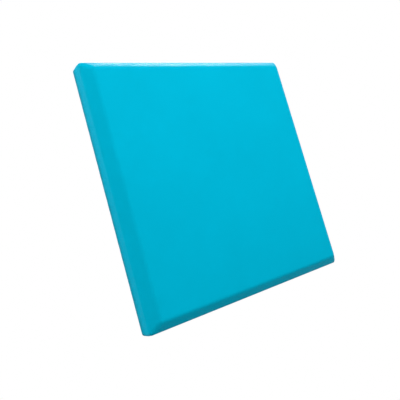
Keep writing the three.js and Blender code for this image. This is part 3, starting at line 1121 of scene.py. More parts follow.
@dataclass
class RingedForm:
    """A form of rings that follow the panel's outline, from a flat grid outwards."""

    space: PanelSpace
    rings: Sequence[Ring]
    steps: int
    crowding: float = 0.8
    front: bool = True
    closed: bool = False
    relief: Callable[[Ring, Side, float], float] | None = None
    grid_relief: Callable[[float, float], float] | None = None
    shares: list[float] = field(init=False)

    def __post_init__(self) -> None:
        """Divide a side."""
        self.shares = crowded_shares(self.steps, self.crowding)

    def spots(self) -> list[tuple[Side, int]]:
        """The points of a ring, clockwise from the top left one, as sides and steps along them."""
        return [(side, step) for side in CLOCKWISE for step in range(self.steps)]

    def place(self, ring: Ring, side: Side, share: float) -> Point:
        """Find a point of a ring, with the ring's corners rounded.

        Args:
            ring: The ring.
            side: The side that the point is on.
            share: How far along the side, from -1 to 1.

        Returns:
            Its x and y.
        """
        half_along, half_out = (half - ring.inset for half in self.space.halves(side))
        along, out = share * half_along, half_out
        over = abs(along) - (half_along - ring.corner)
        if ring.corner > 0 and over > 0:
            reach = math.hypot(over, ring.corner)
            along = math.copysign(half_along - ring.corner + ring.corner * over / reach, along)
            out = half_out - ring.corner + ring.corner * ring.corner / reach
        return side.turned(along, out)

    def flat(self, ring: Ring, side: Side, share: float) -> Point:
        """Where a share of one side of a ring lies on the flat cloth."""
        half_along, half_out = self.space.halves(side)
        return side.turned(share * (half_along - ring.inset), half_out - self.rings[0].inset + ring.travel)

    def surface(self) -> Surface:
        """Work out the form's points and faces.

        Returns:
            The surface, open at its last ring unless the form is closed.
        """
        made = Surface()
        self._add_grid(made, self.rings[0], self.front)
        loop = self._rim(0)
        for inner, outer in zip(self.rings, self.rings[1:]):
            loop = self._add_ring(made, inner, outer, loop)
        if self.closed:
            first = len(made.points)
            self._add_grid(made, self.rings[-1], not self.front)
            self._add_seam(made, loop, self._rim(first))
        return made

    def _rim(self, first: int) -> list[int]:
        """Find a grid's rim.

        Args:
            first: The number of the grid's first point.

        Returns:
            The numbers of its rim's points, clockwise from its top left corner.
        """
        count = self.steps
        row = count + 1
        top = [first + count * row + step for step in range(count)]
        right = [first + (count - step) * row + count for step in range(count)]
        bottom = [first + count - step for step in range(count)]
        left = [first + step * row for step in range(count)]
        return top + right + bottom + left

    def _add_grid(self, made: Surface, ring: Ring, front: bool) -> None:
        """Add the flat grid inside a ring.

        Args:
            made: The surface that it is added to.
            ring: The ring.
            front: Whether the grid looks to the front or to the back.
        """
        half_width, half_height = self.space.width / 2 - ring.inset, self.space.height / 2 - ring.inset
        first = len(made.points)
        row = len(self.shares)
        places = [(across * half_width, up * half_height) for up in self.shares for across in self.shares]
        for x, y in places:
            lift = self.grid_relief(x, y) if self.grid_relief else 0.0
            made.add(self.space.world(x, y, ring.height), lift)
        for up in range(self.steps):
            for across in range(self.steps):
                start = up * row + across
                corners = [start, start + 1, start + row + 1, start + row][:: 1 if front else -1]
                made.face([first + corner for corner in corners], [places[corner] for corner in corners])

    def _add_ring(self, made: Surface, inner: Ring, outer: Ring, loop: Sequence[int]) -> list[int]:
        """Add a ring round the last one.

        Args:
            made: The surface that it is added to.
            inner: The last ring.
            outer: The ring to add.
            loop: The numbers of the last ring's points.

        Returns:
            The numbers of the new ring's points.
        """
        spots = self.spots()
        fresh = []
        for side, step in spots:
            x, y = self.place(outer, side, self.shares[step])
            lift = self.relief(outer, side, self.shares[step]) if self.relief else 0.0
            fresh.append(made.add(self.space.world(x, y, outer.height), lift, outer.crease, outer.soil))
        for number, (side, step) in enumerate(spots):
            after = (number + 1) % len(spots)
            corners = [loop[number], loop[after], fresh[after], fresh[number]]
            ends = [(inner, step), (inner, step + 1), (outer, step + 1), (outer, step)]
            made.face(corners, [self.flat(ring, side, self.shares[place]) for ring, place in ends])
        return fresh

    @staticmethod
    def _add_seam(made: Surface, loop: Sequence[int], rim: Sequence[int]) -> None:
        """Join the last ring to the rim of the grid that closes the form.

        Args:
            made: The surface that holds both.
            loop: The numbers of the last ring's points.
            rim: The numbers of the rim's points, which the ring's take the place of.
        """
        for number, corner in enumerate(loop):
            made.points[rim[number]] = made.points[corner]
        swap = dict(zip(rim, loop))
        made.faces = [tuple(swap.get(corner, corner) for corner in face) for face in made.faces]


@dataclass
class Bar:
    """A bar of one section along a path: a wire, a strip or a staple."""

    path: Sequence[Vector]
    section: Sequence[Point]
    sideways: Vector
    widths: Sequence[float] | None = None

    def surface(self) -> Surface:
        """Work out the bar's points and faces.

        Returns:
            The bar's surface, with capped ends.
        """
        made = Surface()
        for number, place in enumerate(self.path):
            ahead = self._ahead(number)
            side = (self.sideways - ahead * self.sideways.dot(ahead)).normalized()
            rise = ahead.cross(side)
            width = self.widths[number] if self.widths else 1.0
            for across, up in self.section:
                made.add(place + side * (across * width) + rise * up)
        made.enclose(len(self.section))
        return made

    def _ahead(self, number: int) -> Vector:
        """The way the path runs at one of its points."""
        last = len(self.path) - 1
        return (self.path[min(number + 1, last)] - self.path[max(number - 1, 0)]).normalized()


def turned_surface(
    outline: Sequence[Point],
    segments: int,
    put: Placing,
    swell: Callable[[float, float], float] | None = None,
) -> Surface:
    """Turn an outline of radii and heights about the z axis.

    Args:
        outline: Radius and height of each point, the first and the last one on the axis.
        segments: How many sides the turning has.
        put: Turns x, y and z into a place in the frame's space.
        swell: Adds to the radius at an angle and a height, as for a thread.

    Returns:
        The closed surface.
    """
    made = Surface()
    start = made.add(put(0.0, 0.0, outline[0][1]))
    loops = []
    for radius, height in outline[1:-1]:
        loop = []
        for step in range(segments):
            angle = math.tau * step / segments
            reach = radius + (swell(angle, height) if swell else 0.0)
            loop.append(made.add(put(reach * math.cos(angle), reach * math.sin(angle), height)))
        loops.append(loop)
    end = made.add(put(0.0, 0.0, outline[-1][1]))
    for step in range(segments):
        after = (step + 1) % segments
        made.face([start, loops[0][after], loops[0][step]])
        for first, second in zip(loops, loops[1:]):
            made.face([first[step], first[after], second[after], second[step]])
        made.face([end, loops[-1][step], loops[-1][after]])
    return made


# Staples


@dataclass(frozen=True)
class StaplePlace:
    """Where a staple is driven: along its side, in from the edge, turned a little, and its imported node."""

    side: Side
    along: float
    inset: float
    tilt: float = 0.0
    node: str | None = None


@dataclass
class StapleRuns:
    """The staples that hold the cover and the back cloth to the rails."""

    space: PanelSpace
    pitch_share: float = 1 / 16
    crown: float = 10 * MM
    wire_width: float = 1.2 * MM
    wire_thickness: float = 0.6 * MM
    wire_edge: float = 0.15 * MM
    edge_steps: int = 2
    leg: float = 8 * MM
    point_share: float = 0.15
    bend: float = 0.7 * MM
    bend_steps: int = 5
    corner_inset: float = 17 * MM
    corner_tilt: float = -QUARTER_TURN / 2
    clearance: float = 3 * MM
    most_tilt: float = math.radians(6)
    most_stray: float = 0.7 * MM
    seed: int = 7
    places: list[StaplePlace] = field(init=False)

    def __post_init__(self) -> None:
        """Plan where the staples go."""
        packed = self._packed()
        self.places = [*packed, *self._between(packed), *self._corners()]

    def build(self) -> None:
        """Make every staple."""
        for number, place in enumerate(self.places, 1):
            name = f"{place.node}_wire" if place.node else f"staple_between_{number}"
            piece = self._wire(place).surface().made(name)
            nodes = [place.node] if place.node else []
            settled(piece, STAPLE_WIRE, BODY, "staple_wire", *nodes)

    def fullness(self, along: float, length: float) -> float:
        """How full a stapled cloth stands along a side of a length, from 0 at a staple to 1 between two."""
        return 0.5 - 0.5 * math.cos(math.tau * along / (self.pitch_share * length))

    def _packed(self) -> list[StaplePlace]:
        """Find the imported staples.

        Returns:
            Their places, side by side.
        """
        places = []
        for side in Side:
            for name in nodes_named(f"staple_{side.title}_"):
                x, y, _ = self.space.middle_of(name)
                along, out = side.own(x, y)
                places.append(StaplePlace(side, along, self.space.halves(side)[1] - out, node=name))
        return places

    def _between(self, packed: Sequence[StaplePlace]) -> list[StaplePlace]:
        """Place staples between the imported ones, clear of the hangers and bumpers.

        Args:
            packed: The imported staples' places.

        Returns:
            The places, a little astray as by hand.
        """
        draw = random.Random(self.seed)
        fixtures = [
            [self.space.own(corner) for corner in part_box(name)] for name in nodes_named("hanger_", "bumper_")
        ]
        inset = packed[0].inset
        places = []
        for side in Side:
            half_along, half_out = self.space.halves(side)
            for step in range(1, round(1 / self.pitch_share)):
                along = (step * self.pitch_share - 1 / 2) * 2 * half_along
                stray = draw.uniform(-self.most_stray, self.most_stray)
                tilt = draw.uniform(-self.most_tilt, self.most_tilt)
                x, y = side.turned(along, half_out - inset)
                taken = any(near.side is side and abs(near.along - along) < self.crown for near in packed)
                if not taken and not any(self._meets(x, y, fixture) for fixture in fixtures):
                    places.append(StaplePlace(side, along + stray, inset + stray / 2, tilt))
        return places

    def _meets(self, x: float, y: float, fixture: Sequence[Space]) -> bool:
        """Whether a staple at x and y comes too near a fixture, given by two corners of its box."""
        reach = self.crown / 2 + self.clearance
        return all(min(ends) - reach < at < max(ends) + reach for at, ends in zip((x, y), zip(*fixture)))

    def _corners(self) -> list[StaplePlace]:
        """Place one staple across each corner's fold.

        Returns:
            The places.
        """
        places = []
        for side in Side:
            along = self.space.halves(side)[0] - self.corner_inset
            places.append(StaplePlace(side, along, self.corner_inset, self.corner_tilt))
        return places

    def _wire(self, place: StaplePlace) -> Bar:
        """Bend one staple's wire.

        Args:
            place: Where it is driven.

        Returns:
            The bar, from one leg's point over the crown to the other's.
        """
        half = (self.crown - self.wire_thickness) / 2
        bend_centre = (half - self.bend, self.bend - self.wire_thickness / 2)
        bend = arc(bend_centre, self.bend, 0.0, -QUARTER_TURN, self.bend_steps)
        right = [(half, self.leg), (half, self.leg - self.wire_width), *bend]
        line = [*right, *((-x, z) for x, z in reversed(right))]
        widths = [self.point_share, *[1.0] * (len(line) - 2), self.point_share]
        out = self.space.halves(place.side)[1] - place.inset
        cosine, sine = math.cos(place.tilt), math.sin(place.tilt)
        path = []
        for x, z in line:
            across, up = place.side.turned(place.along + x * cosine, out + x * sine)
            path.append(self.space.world(across, up, z))
        sideways = self.space.direction(*place.side.turned(-sine, cosine), 0.0)
        section = rounded_section(self.wire_width, self.wire_thickness, self.wire_edge, self.edge_steps)
        return Bar(path, section, sideways, widths)


# Cloths


@dataclass
class StretchedCover:
    """The cloth cover: one sheet over the face, the bevels and the walls, turned in and stapled behind."""

    space: PanelSpace
    staples: StapleRuns
    bevel: float = 18 * MM
    face_crease: float = 11 * MM
    wall_crease: float = 9 * MM
    back_crease: float = 1.4 * MM
    corner: float = 4.5 * MM
    mitre: float = 8 * MM
    tightening: float = 7 * MM
    tightened: float = 1 * MM
    thickness: float = 0.8 * MM
    turn_in: float = 26.1 * MM
    bow: float = 0.35 * MM
    steps: int = 128
    longest_step: float = 2.4 * MM
    face_crease_steps: int = 9
    wall_crease_steps: int = 7
    back_crease_steps: int = 5
    face_relief: float = 0.16 * MM
    face_relief_size: float = 120 * MM
    face_relief_fade: float = 40 * MM
    wall_relief: float = 0.14 * MM
    return_swing: float = 1.6
    corner_fade: Point = (10 * MM, 45 * MM)
    return_fade: Point = (2 * MM, 12 * MM)
    edge_stray: float = 0.8 * MM
    edge_stray_size: float = 14 * MM
    edge_fray_size: float = 4 * MM
    edge_weights: tuple[float, ...] = (1.0, 0.35)
    edge_fade_power: int = 8
    side_stride: float = 3.1
    crease_reach: float = 3 * MM
    # How far from the back edge the painted shade reaches
    soil_reach: float = 10 * MM

    def build(self) -> None:
        """Make the cover and the folds tucked at its corners."""
        form = RingedForm(
            self.space, self.rings(), self.steps, relief=self._relief, grid_relief=self._face_relief
        )
        surface = form.surface()
        self._fray(surface, form)
        cover = surface.made("cover")
        thickened(cover, self.thickness)
        settled(cover, COVER_CLOTH, BODY, "cover_cloth", "cloth_cover")
        corners = [(side, at_start) for side in (Side.TOP, Side.BOTTOM) for at_start in (True, False)]
        tucks = [CornerTuck(self, form, side, at_start).build() for side, at_start in corners]
        flat = self.flat_size(form)

    def flat_size(self, form: RingedForm) -> Point:
        """The size that the cover was cut to, from raw edge to raw edge."""
        past_face = 2 * (form.rings[-1].travel - form.rings[0].inset)
        return self.space.width + past_face, self.space.height + past_face

    def section(self) -> list[Point]:
        """Draw the cover's outer line.

        Returns:
            Its insets and heights, from the edge of the flat face to the raw edge.
        """
        turn = QUARTER_TURN / 2
        depth = self.space.depth
        face_centre = (self.bevel + self.face_crease * math.tan(turn / 2), depth - self.face_crease)
        wall_centre = (self.wall_crease, depth - self.bevel - self.wall_crease * math.tan(turn / 2))
        back_centre = (self.back_crease, self.back_crease)
        down_bevel = [
            *arc(face_centre, self.face_crease, QUARTER_TURN, HALF_TURN - turn, self.face_crease_steps),
            *arc(wall_centre, self.wall_crease, HALF_TURN - turn, HALF_TURN, self.wall_crease_steps),
        ]
        return [
            *self._bowed(divided(down_bevel, self.longest_step)),
            *arc(back_centre, self.back_crease, HALF_TURN, HALF_TURN + QUARTER_TURN, self.back_crease_steps),
            (self.turn_in, 0.0),
        ]

    def rings(self) -> list[Ring]:
        """Turn the section into rings.

        Returns:
            The cover's rings, with how far along the cloth each lies.
        """
        line = divided(self.section(), self.longest_step)
        travels = distances(line)
        face_end = self.face_crease * QUARTER_TURN / 2
        wall_start = next(travel for (inset, _), travel in zip(line, travels) if inset <= NEXT_TO_NOTHING)
        wall_end = next(travel for (_, height), travel in zip(line, travels) if height <= NEXT_TO_NOTHING)
        creases = (face_end / 2, wall_start - self.wall_crease * QUARTER_TURN / 4, wall_end)
        rings = []
        for (inset, height), travel in zip(line, travels):
            opening = self.mitre * smooth_step(travel, 0.0, face_end)
            tight = smooth_step(travel, wall_start - self.tightening, wall_start + self.tightened)
            corner = opening + (self.corner - opening) * tight
            if travel > wall_start:
                corner = max(0.0, self.corner - inset)
            crease = max(bell(travel, crease, self.crease_reach) for crease in creases)
            # Painted shade, darkest at the back edge
            soil = bell(travel, wall_end, self.soil_reach)
            rings.append(Ring(inset, height, travel, corner, crease, soil))
        return rings

    def _bowed(self, line: Sequence[Point]) -> list[Point]:
        """Bow a line down the bevel out towards the corner, as the foam behind it fills the cloth.

        Args:
            line: Its insets and heights.

        Returns:
            The bowed insets and heights.
        """
        reach = distances(line)
        outs = [self.bow * math.sin(HALF_TURN * at / reach[-1]) ** 2 / math.sqrt(2) for at in reach]
        return [(inset - out, height + out) for (inset, height), out in zip(line, outs)]

    def _face_relief(self, x: float, y: float) -> float:
        """Let the face stray from flat, fading to nothing at its edge.

        Args:
            x: Across the face.
            y: Up the face.

        Returns:
            How far it strays.
        """
        from_edge = min(self.space.width / 2 - abs(x), self.space.height / 2 - abs(y)) - self.bevel
        fade = smooth_step(from_edge, 0.0, self.face_relief_fade)
        size = self.face_relief_size
        return self.face_relief * fade * lumps(x / size, y / size, NoiseLayer.FACE)

    def _relief(self, ring: Ring, side: Side, share: float) -> float:
        """Draw the walls and the return in at each staple, and let them stand full between.

        Args:
            ring: The ring.
            side: The side.
            share: How far along the side, from -1 to 1.

        Returns:
            How far the cloth strays.
        """
        half_along = self.space.halves(side)[0]
        along = share * (half_along - ring.inset)
        stray = self.wall_relief * smooth_step(half_along - abs(along), *self.corner_fade)
        full = self.staples.fullness(along, 2 * half_along)
        if ring.height > 0:
            low = 1 - smooth_step(ring.height, 0.0, self.space.depth - self.bevel)
            return stray * low * (full - 0.5)
        return stray * smooth_step(ring.inset, *self.return_fade) * (1 - self.return_swing * (1 - full))

    def _fray(self, surface: Surface, form: RingedForm) -> None:
        """Let the raw edge wander a little, as shears leave it.

        Args:
            surface: The cover's surface, whose last points are its outermost rings.
            form: The form that it was made from.
        """
        spots = form.spots()
        for back, weight in enumerate(self.edge_weights, 1):
            first = len(surface.points) - back * len(spots)
            for number, (side, step) in enumerate(spots):
                share = form.shares[step]
                along, row = share * self.space.halves(side)[0], side.value * self.side_stride
                wander = lumps(along / self.edge_stray_size, row, NoiseLayer.RAW_EDGE)
                wander += 0.5 * lumps(along / self.edge_fray_size, row, NoiseLayer.RAW_EDGE_FINE)
                out = self.edge_stray * weight * wander * (1 - abs(share) ** self.edge_fade_power)
                surface.points[first + number] += self.space.direction(*side.turned(0.0, out), 0.0)


@dataclass
class CornerTuck:
    """The fold of spare cloth at one corner, laid over the wall and on over the return behind."""

    cover: StretchedCover
    form: RingedForm
    side: Side
    at_start: bool
    lead: float = 5 * MM
    least_lead: float = 1.5 * MM
    top_width: float = 1.2 * MM
    wall_width: float = 7.5 * MM
    return_width: float = 4.5 * MM
    across_steps: int = 14
    rise: float = 0.75 * MM
    sink: float = 0.35 * MM
    slope_share: float = 0.75
    emerging: float = 9 * MM
    short_of_edge: float = 1.5 * MM
    thickness: float = 0.6 * MM

    def build(self) -> bpy.types.Object:
        """Make the fold.

        Returns:
            The fold's object.
        """
        rings = [ring for ring in self.form.rings if self._carries(ring)]
        surface = Surface()
        start_travel = rings[0].travel
        for ring in rings:
            hidden = 1 - smooth_step(ring.travel, start_travel, start_travel + self.emerging)
            for step in range(self.across_steps + 1):
                up = smooth_step(step / self.across_steps, 0.0, self.slope_share)
                lift = (self.rise + self.sink) * (up - hidden) - self.sink
                surface.add(self._spot(ring, step), lift, ring.crease, ring.soil)
        self._add_faces(surface, rings)
        corner = "left" if self.at_start == (self.side is Side.TOP) else "right"
        piece = surface.made(f"cover_tuck_{self.side.title}_{corner}")
        thickened(piece, self.thickness)
        return settled(piece, COVER_CLOTH, BODY, "cover_cloth")

    def _add_faces(self, surface: Surface, rings: Sequence[Ring]) -> None:
        """Add the faces between the points, with the fold's own piece of the flat cloth.

        Args:
            surface: The surface that holds the points, ring by ring.
            rings: The rings.
        """
        count = self.across_steps + 1
        step_width = self.wall_width / self.across_steps
        way = 1 if self.at_start else -1
        for line in range(len(rings) - 1):
            for step in range(self.across_steps):
                start = line * count + step
                corners = [start, start + 1, start + count + 1, start + count]
                places = [(rings[corner // count].travel, corner % count * step_width) for corner in corners]
                surface.face(corners[::way], places[::way])

    def _carries(self, ring: Ring) -> bool:
        """Whether a ring lies on the wall or the return, short of the raw edge."""
        under_bevel = ring.inset < NEXT_TO_NOTHING or ring.height < self.cover.back_crease
        return under_bevel and ring.travel < self.form.rings[-1].travel - self.short_of_edge

    def _width(self, ring: Ring) -> float:
        """Work out how wide the fold is on a ring.

        Args:
            ring: The cover's ring.

        Returns:
            The width, from the corner's middle to the fold's edge.
        """
        if ring.height > 0:
            low = 1 - ring.height / (self.cover.space.depth - self.cover.bevel)
            return self.top_width + (self.wall_width - self.top_width) * low
        return self.wall_width + (self.return_width - self.wall_width) * ring.inset / self.cover.turn_in

    def _spot(self, ring: Ring, step: int) -> Vector:
        """Find a place on the cover's ring, measured round the corner from its middle.

        Args:
            ring: The cover's ring.
            step: How many steps across the fold.

        Returns:
            The place in the frame's space.
        """
        lead = min(self.lead, self.least_lead + ring.corner)
        from_corner = -lead + (self._width(ring) + lead) * step / self.across_steps
        half_along, half_out = (half - ring.inset for half in self.cover.space.halves(self.side))
        rounding = ring.corner * QUARTER_TURN / 2
        if abs(from_corner) <= rounding and ring.corner > 0:
            angle = QUARTER_TURN / 2 + from_corner / ring.corner
            along = half_along - ring.corner + ring.corner * math.cos(angle)
            out = half_out - ring.corner + ring.corner * math.sin(angle)
        elif from_corner > 0:
            along, out = half_along - ring.corner - (from_corner - rounding), half_out
        else:
            along, out = half_along, half_out - ring.corner + (from_corner + rounding)
        x, y = self.side.turned(-along if self.at_start else along, out)
        return self.cover.space.world(x, y, ring.height)


@dataclass
class BackCloth:
    """The thin black cloth over the back, held under the cover's return."""

    space: PanelSpace
    staples: StapleRuns
    cover: StretchedCover
    steps: int = 110
    crowding: float = 0.5
    thickness: float = 0.5 * MM
    pucker: float = 0.5 * MM
    pucker_reach: float = 22 * MM
    slack: float = 0.45 * MM
    slack_size: float = 90 * MM
    return_fade: Point = (1 * MM, 12 * MM)
    corner_fade: float = 30 * MM

    def build(self) -> None:
        """Make the cloth."""
        low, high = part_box("back_cloth")
        ring = Ring(self.space.width / 2 - high.x, self.space.own(high)[2])
        form = RingedForm(
            self.space, [ring], self.steps, self.crowding, front=False, grid_relief=self._relief
        )
        piece = form.surface().made("backing")
        thickened(piece, self.thickness)
        settled(piece, BACK_CLOTH, BODY, "back_cloth", "back_cloth")

    def _relief(self, x: float, y: float) -> float:
        """Let the cloth stand out, slack in the middle and drawn into puckers by the staples.

        Args:
            x: Across the back.
            y: Up the back.

        Returns:
            How far it stands out.
        """
        insets = (self.space.width / 2 - abs(x), self.space.height / 2 - abs(y))
        along = y if insets[0] < insets[1] else x
        from_return = min(insets) - self.cover.turn_in
        full = self.staples.fullness(along, self.space.width)
        off_diagonal = smooth_step(abs(insets[0] - insets[1]), 0.0, self.corner_fade)
        pucker = self.pucker * full * off_diagonal * math.exp(-max(from_return, 0.0) / self.pucker_reach)
        soft = lumps(x / self.slack_size, y / self.slack_size, NoiseLayer.BACK)
        return smooth_step(from_return, *self.return_fade) * (pucker + self.slack * (0.5 + 0.5 * soft))


# Foam


@dataclass
class FoamCore:
    """The bevelled foam slab behind the cover, and the slab between the rails."""

    space: PanelSpace
    cover: StretchedCover
    clearance: float = 1.3 * MM
    edge: float = 1.2 * MM
    edge_steps: int = 4
    steps: int = 48
    longest_step: float = 6 * MM
    slab_margin: float = 60 * MM
    infill_margin: float = 10 * MM

    def build(self) -> None:
        """Make both slabs."""
        self._settle("foam_slab", "foam_face", self._slab_rings())
        self._settle("foam_between_rails", "foam_infill", self._infill_rings())

    def _slab_rings(self) -> list[Ring]:
        """Draw the bevelled slab, its outside a little inside the cover's.

        Returns:
            Its rings.
        """
        back = self.space.own(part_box("foam_face")[1])[2]
        rings = []
        for ring in self.cover.rings():
            level = 1 - smooth_step(ring.inset, 0.0, self.cover.bevel + self.cover.face_crease / 2)
            height = ring.height - self.clearance * (1 - level)
            if height > back + self.edge:
                rings.append(Ring(ring.inset + self.clearance * level, height, corner=ring.corner))
        foot = (self.clearance + self.edge, back + self.edge)
        under = arc(foot, self.edge, HALF_TURN, HALF_TURN + QUARTER_TURN, self.edge_steps)
        rings += [Ring(inset, height, corner=rings[-1].corner) for inset, height in under]
        return [*rings, Ring(self.slab_margin, back)]

    def _infill_rings(self) -> list[Ring]:
        """Draw the slab between the rails, with its edges rounded.

        Returns:
            Its rings.
        """
        low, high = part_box("foam_infill")
        inset = self.space.width / 2 - high.x
        front, back = self.space.own(low)[2], self.space.own(high)[2]
        edge = self.edge
        upper = arc((inset + edge, front - edge), edge, QUARTER_TURN, HALF_TURN, self.edge_steps)
        lower = arc((inset + edge, back + edge), edge, HALF_TURN, HALF_TURN + QUARTER_TURN, self.edge_steps)
        margin = inset + self.infill_margin
        line = divided([(margin, front), *upper, *lower, (margin, back)], self.longest_step)
        rounded = [Ring(place, height, corner=edge) for place, height in line[1:-1]]
        return [Ring(*line[0]), *rounded, Ring(*line[-1])]

    def _settle(self, name: str, node: str, rings: Sequence[Ring]) -> None:
        """Make a slab from its rings.

        Args:
            name: The piece's name.
            node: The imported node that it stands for.
            rings: Its rings, from the front to the back.
        """
        piece = RingedForm(self.space, rings, self.steps, closed=True).surface().made(name)
        settled(piece, FOAM, BODY, "foam", node)


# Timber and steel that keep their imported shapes


@dataclass
class BattenFrame:
    """The mitred rails, and the braces and screws let into their corners."""

    level_timber: PlanedTimber = LEVEL_TIMBER
    upright_timber: PlanedTimber = UPRIGHT_TIMBER
    plate: PlatedSteel = ZINC

    def dress(self) -> None:
        """Give the rails their grain and the braces and screws their plate."""
        for side in Side:
            timber = self.level_timber if side.level else self.upright_timber
            timber.put_on(frame["nodes"][f"rail_{side.title}"])
            LOG.info("rail_%s: keeps its solid", side.title)
        for name in nodes_named("brace_"):
            self.plate.put_on(frame["nodes"][name])
            LOG.info("%s: keeps its solid", name)


# Bumpers and hangers


@dataclass
class Bumpers:
    """The four rubber bumpers that stand the panel off the wall."""

    space: PanelSpace
    edge: float = 1.6 * MM
    edge_steps: int = 8
    dish: float = 0.35 * MM
    dish_share: float = 0.55
    dish_shares: tuple[float, ...] = (0, 0.3, 0.6, 0.85, 1)
    flare: float = 0.5 * MM
    foot_edge: float = 0.1 * MM
    foot_depth: float = 0.3 * MM
    segments: int = 64

    def build(self) -> None:
        """Make the bumpers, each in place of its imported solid."""
        for name in nodes_named("bumper_"):
            low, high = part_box(name)
            x, y, _ = self.space.middle_of(name)
            outline = self._outline((high.x - low.x) / 2, self.space.own(high)[2], self.space.own(low)[2])
            surface = turned_surface(outline, self.segments, self.space.about(x, y))
            settled(surface.made(f"{name}_rubber"), RUBBER, BODY, "rubber", name)

    def _outline(self, radius: float, outer: float, seat: float) -> list[Point]:
        """Draw the bumper's section, from the dished outer face round to the seat.

        Args:
            radius: The bumper's radius at its seat.
            outer: The place of its outer face.
            seat: The place of its seat.

        Returns:
            Radii and heights, from the axis to the axis.
        """
        dished = [
            (radius * self.dish_share * share, outer + self.dish * (1 - share * share))
            for share in self.dish_shares
        ]
        shoulder_centre = (radius - self.flare - self.edge, outer + self.edge)
        return [
            *dished,
            *arc(shoulder_centre, self.edge, -QUARTER_TURN, 0.0, self.edge_steps),
            (radius - self.foot_edge, seat - 2 * self.foot_depth),
            (radius, seat - self.foot_depth),
            (radius, seat),
            (0.0, seat),
        ]


@dataclass(frozen=True)
class PanHeadScrew:
    """A pan-head wood screw with a crossed recess, drawn from the middle of its head inwards."""

    head: float = 7 * MM
    head_height: float = 2.2 * MM
    dome: float = 1.1 * MM
    dome_steps: int = 10
    rim_start: float = 1.2 * MM
    rim_edge: float = 0.2 * MM
    core: float = 3.4 * MM
    length: float = 20 * MM
    tip: float = 4 * MM
    point_radius: float = 0.3 * MM
    point_length: float = 0.2 * MM
    thread_depth: float = 0.35 * MM
    thread_pitch: float = 1.5 * MM
    thread_share: float = 0.5
    thread_steps: int = 8
    thread_start: Point = (1 * MM, 2.5 * MM)
    recess_span: float = 5.2 * MM
    recess_slot: float = 0.9 * MM
    recess_depth: float = 2.4 * MM
    recess_floor_share: float = 0.25
    recess_overrun: float = 1 * MM
    recess_turn: float = math.radians(20)
    segments: int = 40

    def made(self, name: str, put: Placing) -> bpy.types.Object:
        """Turn the screw and cut its recess.

        Args:
            name: The piece's name.
            put: Turns places measured from the middle of the head into the frame's space.

        Returns:
            The object.
        """
        piece = turned_surface(self._outline(), self.segments, put, self._thread).made(name)
        for turn in (self.recess_turn, self.recess_turn + QUARTER_TURN):
            cut_out(piece, self._recess_blade(put, turn))
        return piece

    def _outline(self) -> list[Point]:
        """Draw the screw's section.

        Returns:
            Radii and heights, from the middle of the head to the point.
        """
        head, core = self.head / 2, self.core / 2
        angles = [QUARTER_TURN * step / self.dome_steps for step in range(self.dome_steps)]
        shank_length = self.length - self.tip - self.head_height
        count = round(shank_length / (self.thread_pitch / self.thread_steps))
        shank = [self.head_height + shank_length * step / count for step in range(count + 1)]
        return [
            *((head * math.sin(angle), self.dome * (1 - math.cos(angle))) for angle in angles),
            (head, self.rim_start),
            (head, self.head_height - self.rim_edge),
            (head - self.rim_edge, self.head_height),
            *((core, height) for height in shank),
            (self.point_radius, self.length - self.point_length),
            (0.0, self.length),
        ]

    def _thread(self, angle: float, height: float) -> float:
        """Wind the thread once in a pitch.

        Args:
            angle: Round the screw.
            height: Down the screw from its head.

        Returns:
            The thread's rise over the core.
        """
        if height >= self.length - self.tip:
            return 0.0
        start, full = (self.head_height + reach for reach in self.thread_start)
        turn = (height / self.thread_pitch - angle / math.tau) % 1.0
        ridge = max(0.0, 1 - abs(turn - 0.5) / (self.thread_share / 2))
        return smooth_step(height, start, full) * self.thread_depth * ridge

    def _recess_blade(self, put: Placing, turn: float) -> bpy.types.Object:
        """Make one blade of the crossed recess's cutter, tapering into the head.

        Args:
            put: Turns places measured from the middle of the head into the frame's space.
            turn: How far the blade is turned.

        Returns:
            The blade's object.
        """
        span, slot = self.recess_span / 2, self.recess_slot / 2
        corners = [(-span, -slot), (span, -slot), (span, slot), (-span, slot)]
        surface = Surface()
        for height, share in ((-self.recess_overrun, 1.0), (self.recess_depth, self.recess_floor_share)):
            for across, up in corners:
                x = across * share * math.cos(turn) - up * math.sin(turn)
                y = across * share * math.sin(turn) + up * math.cos(turn)
                surface.add(put(x, y, height))
        surface.enclose(len(corners))
        return surface.made("cutter")


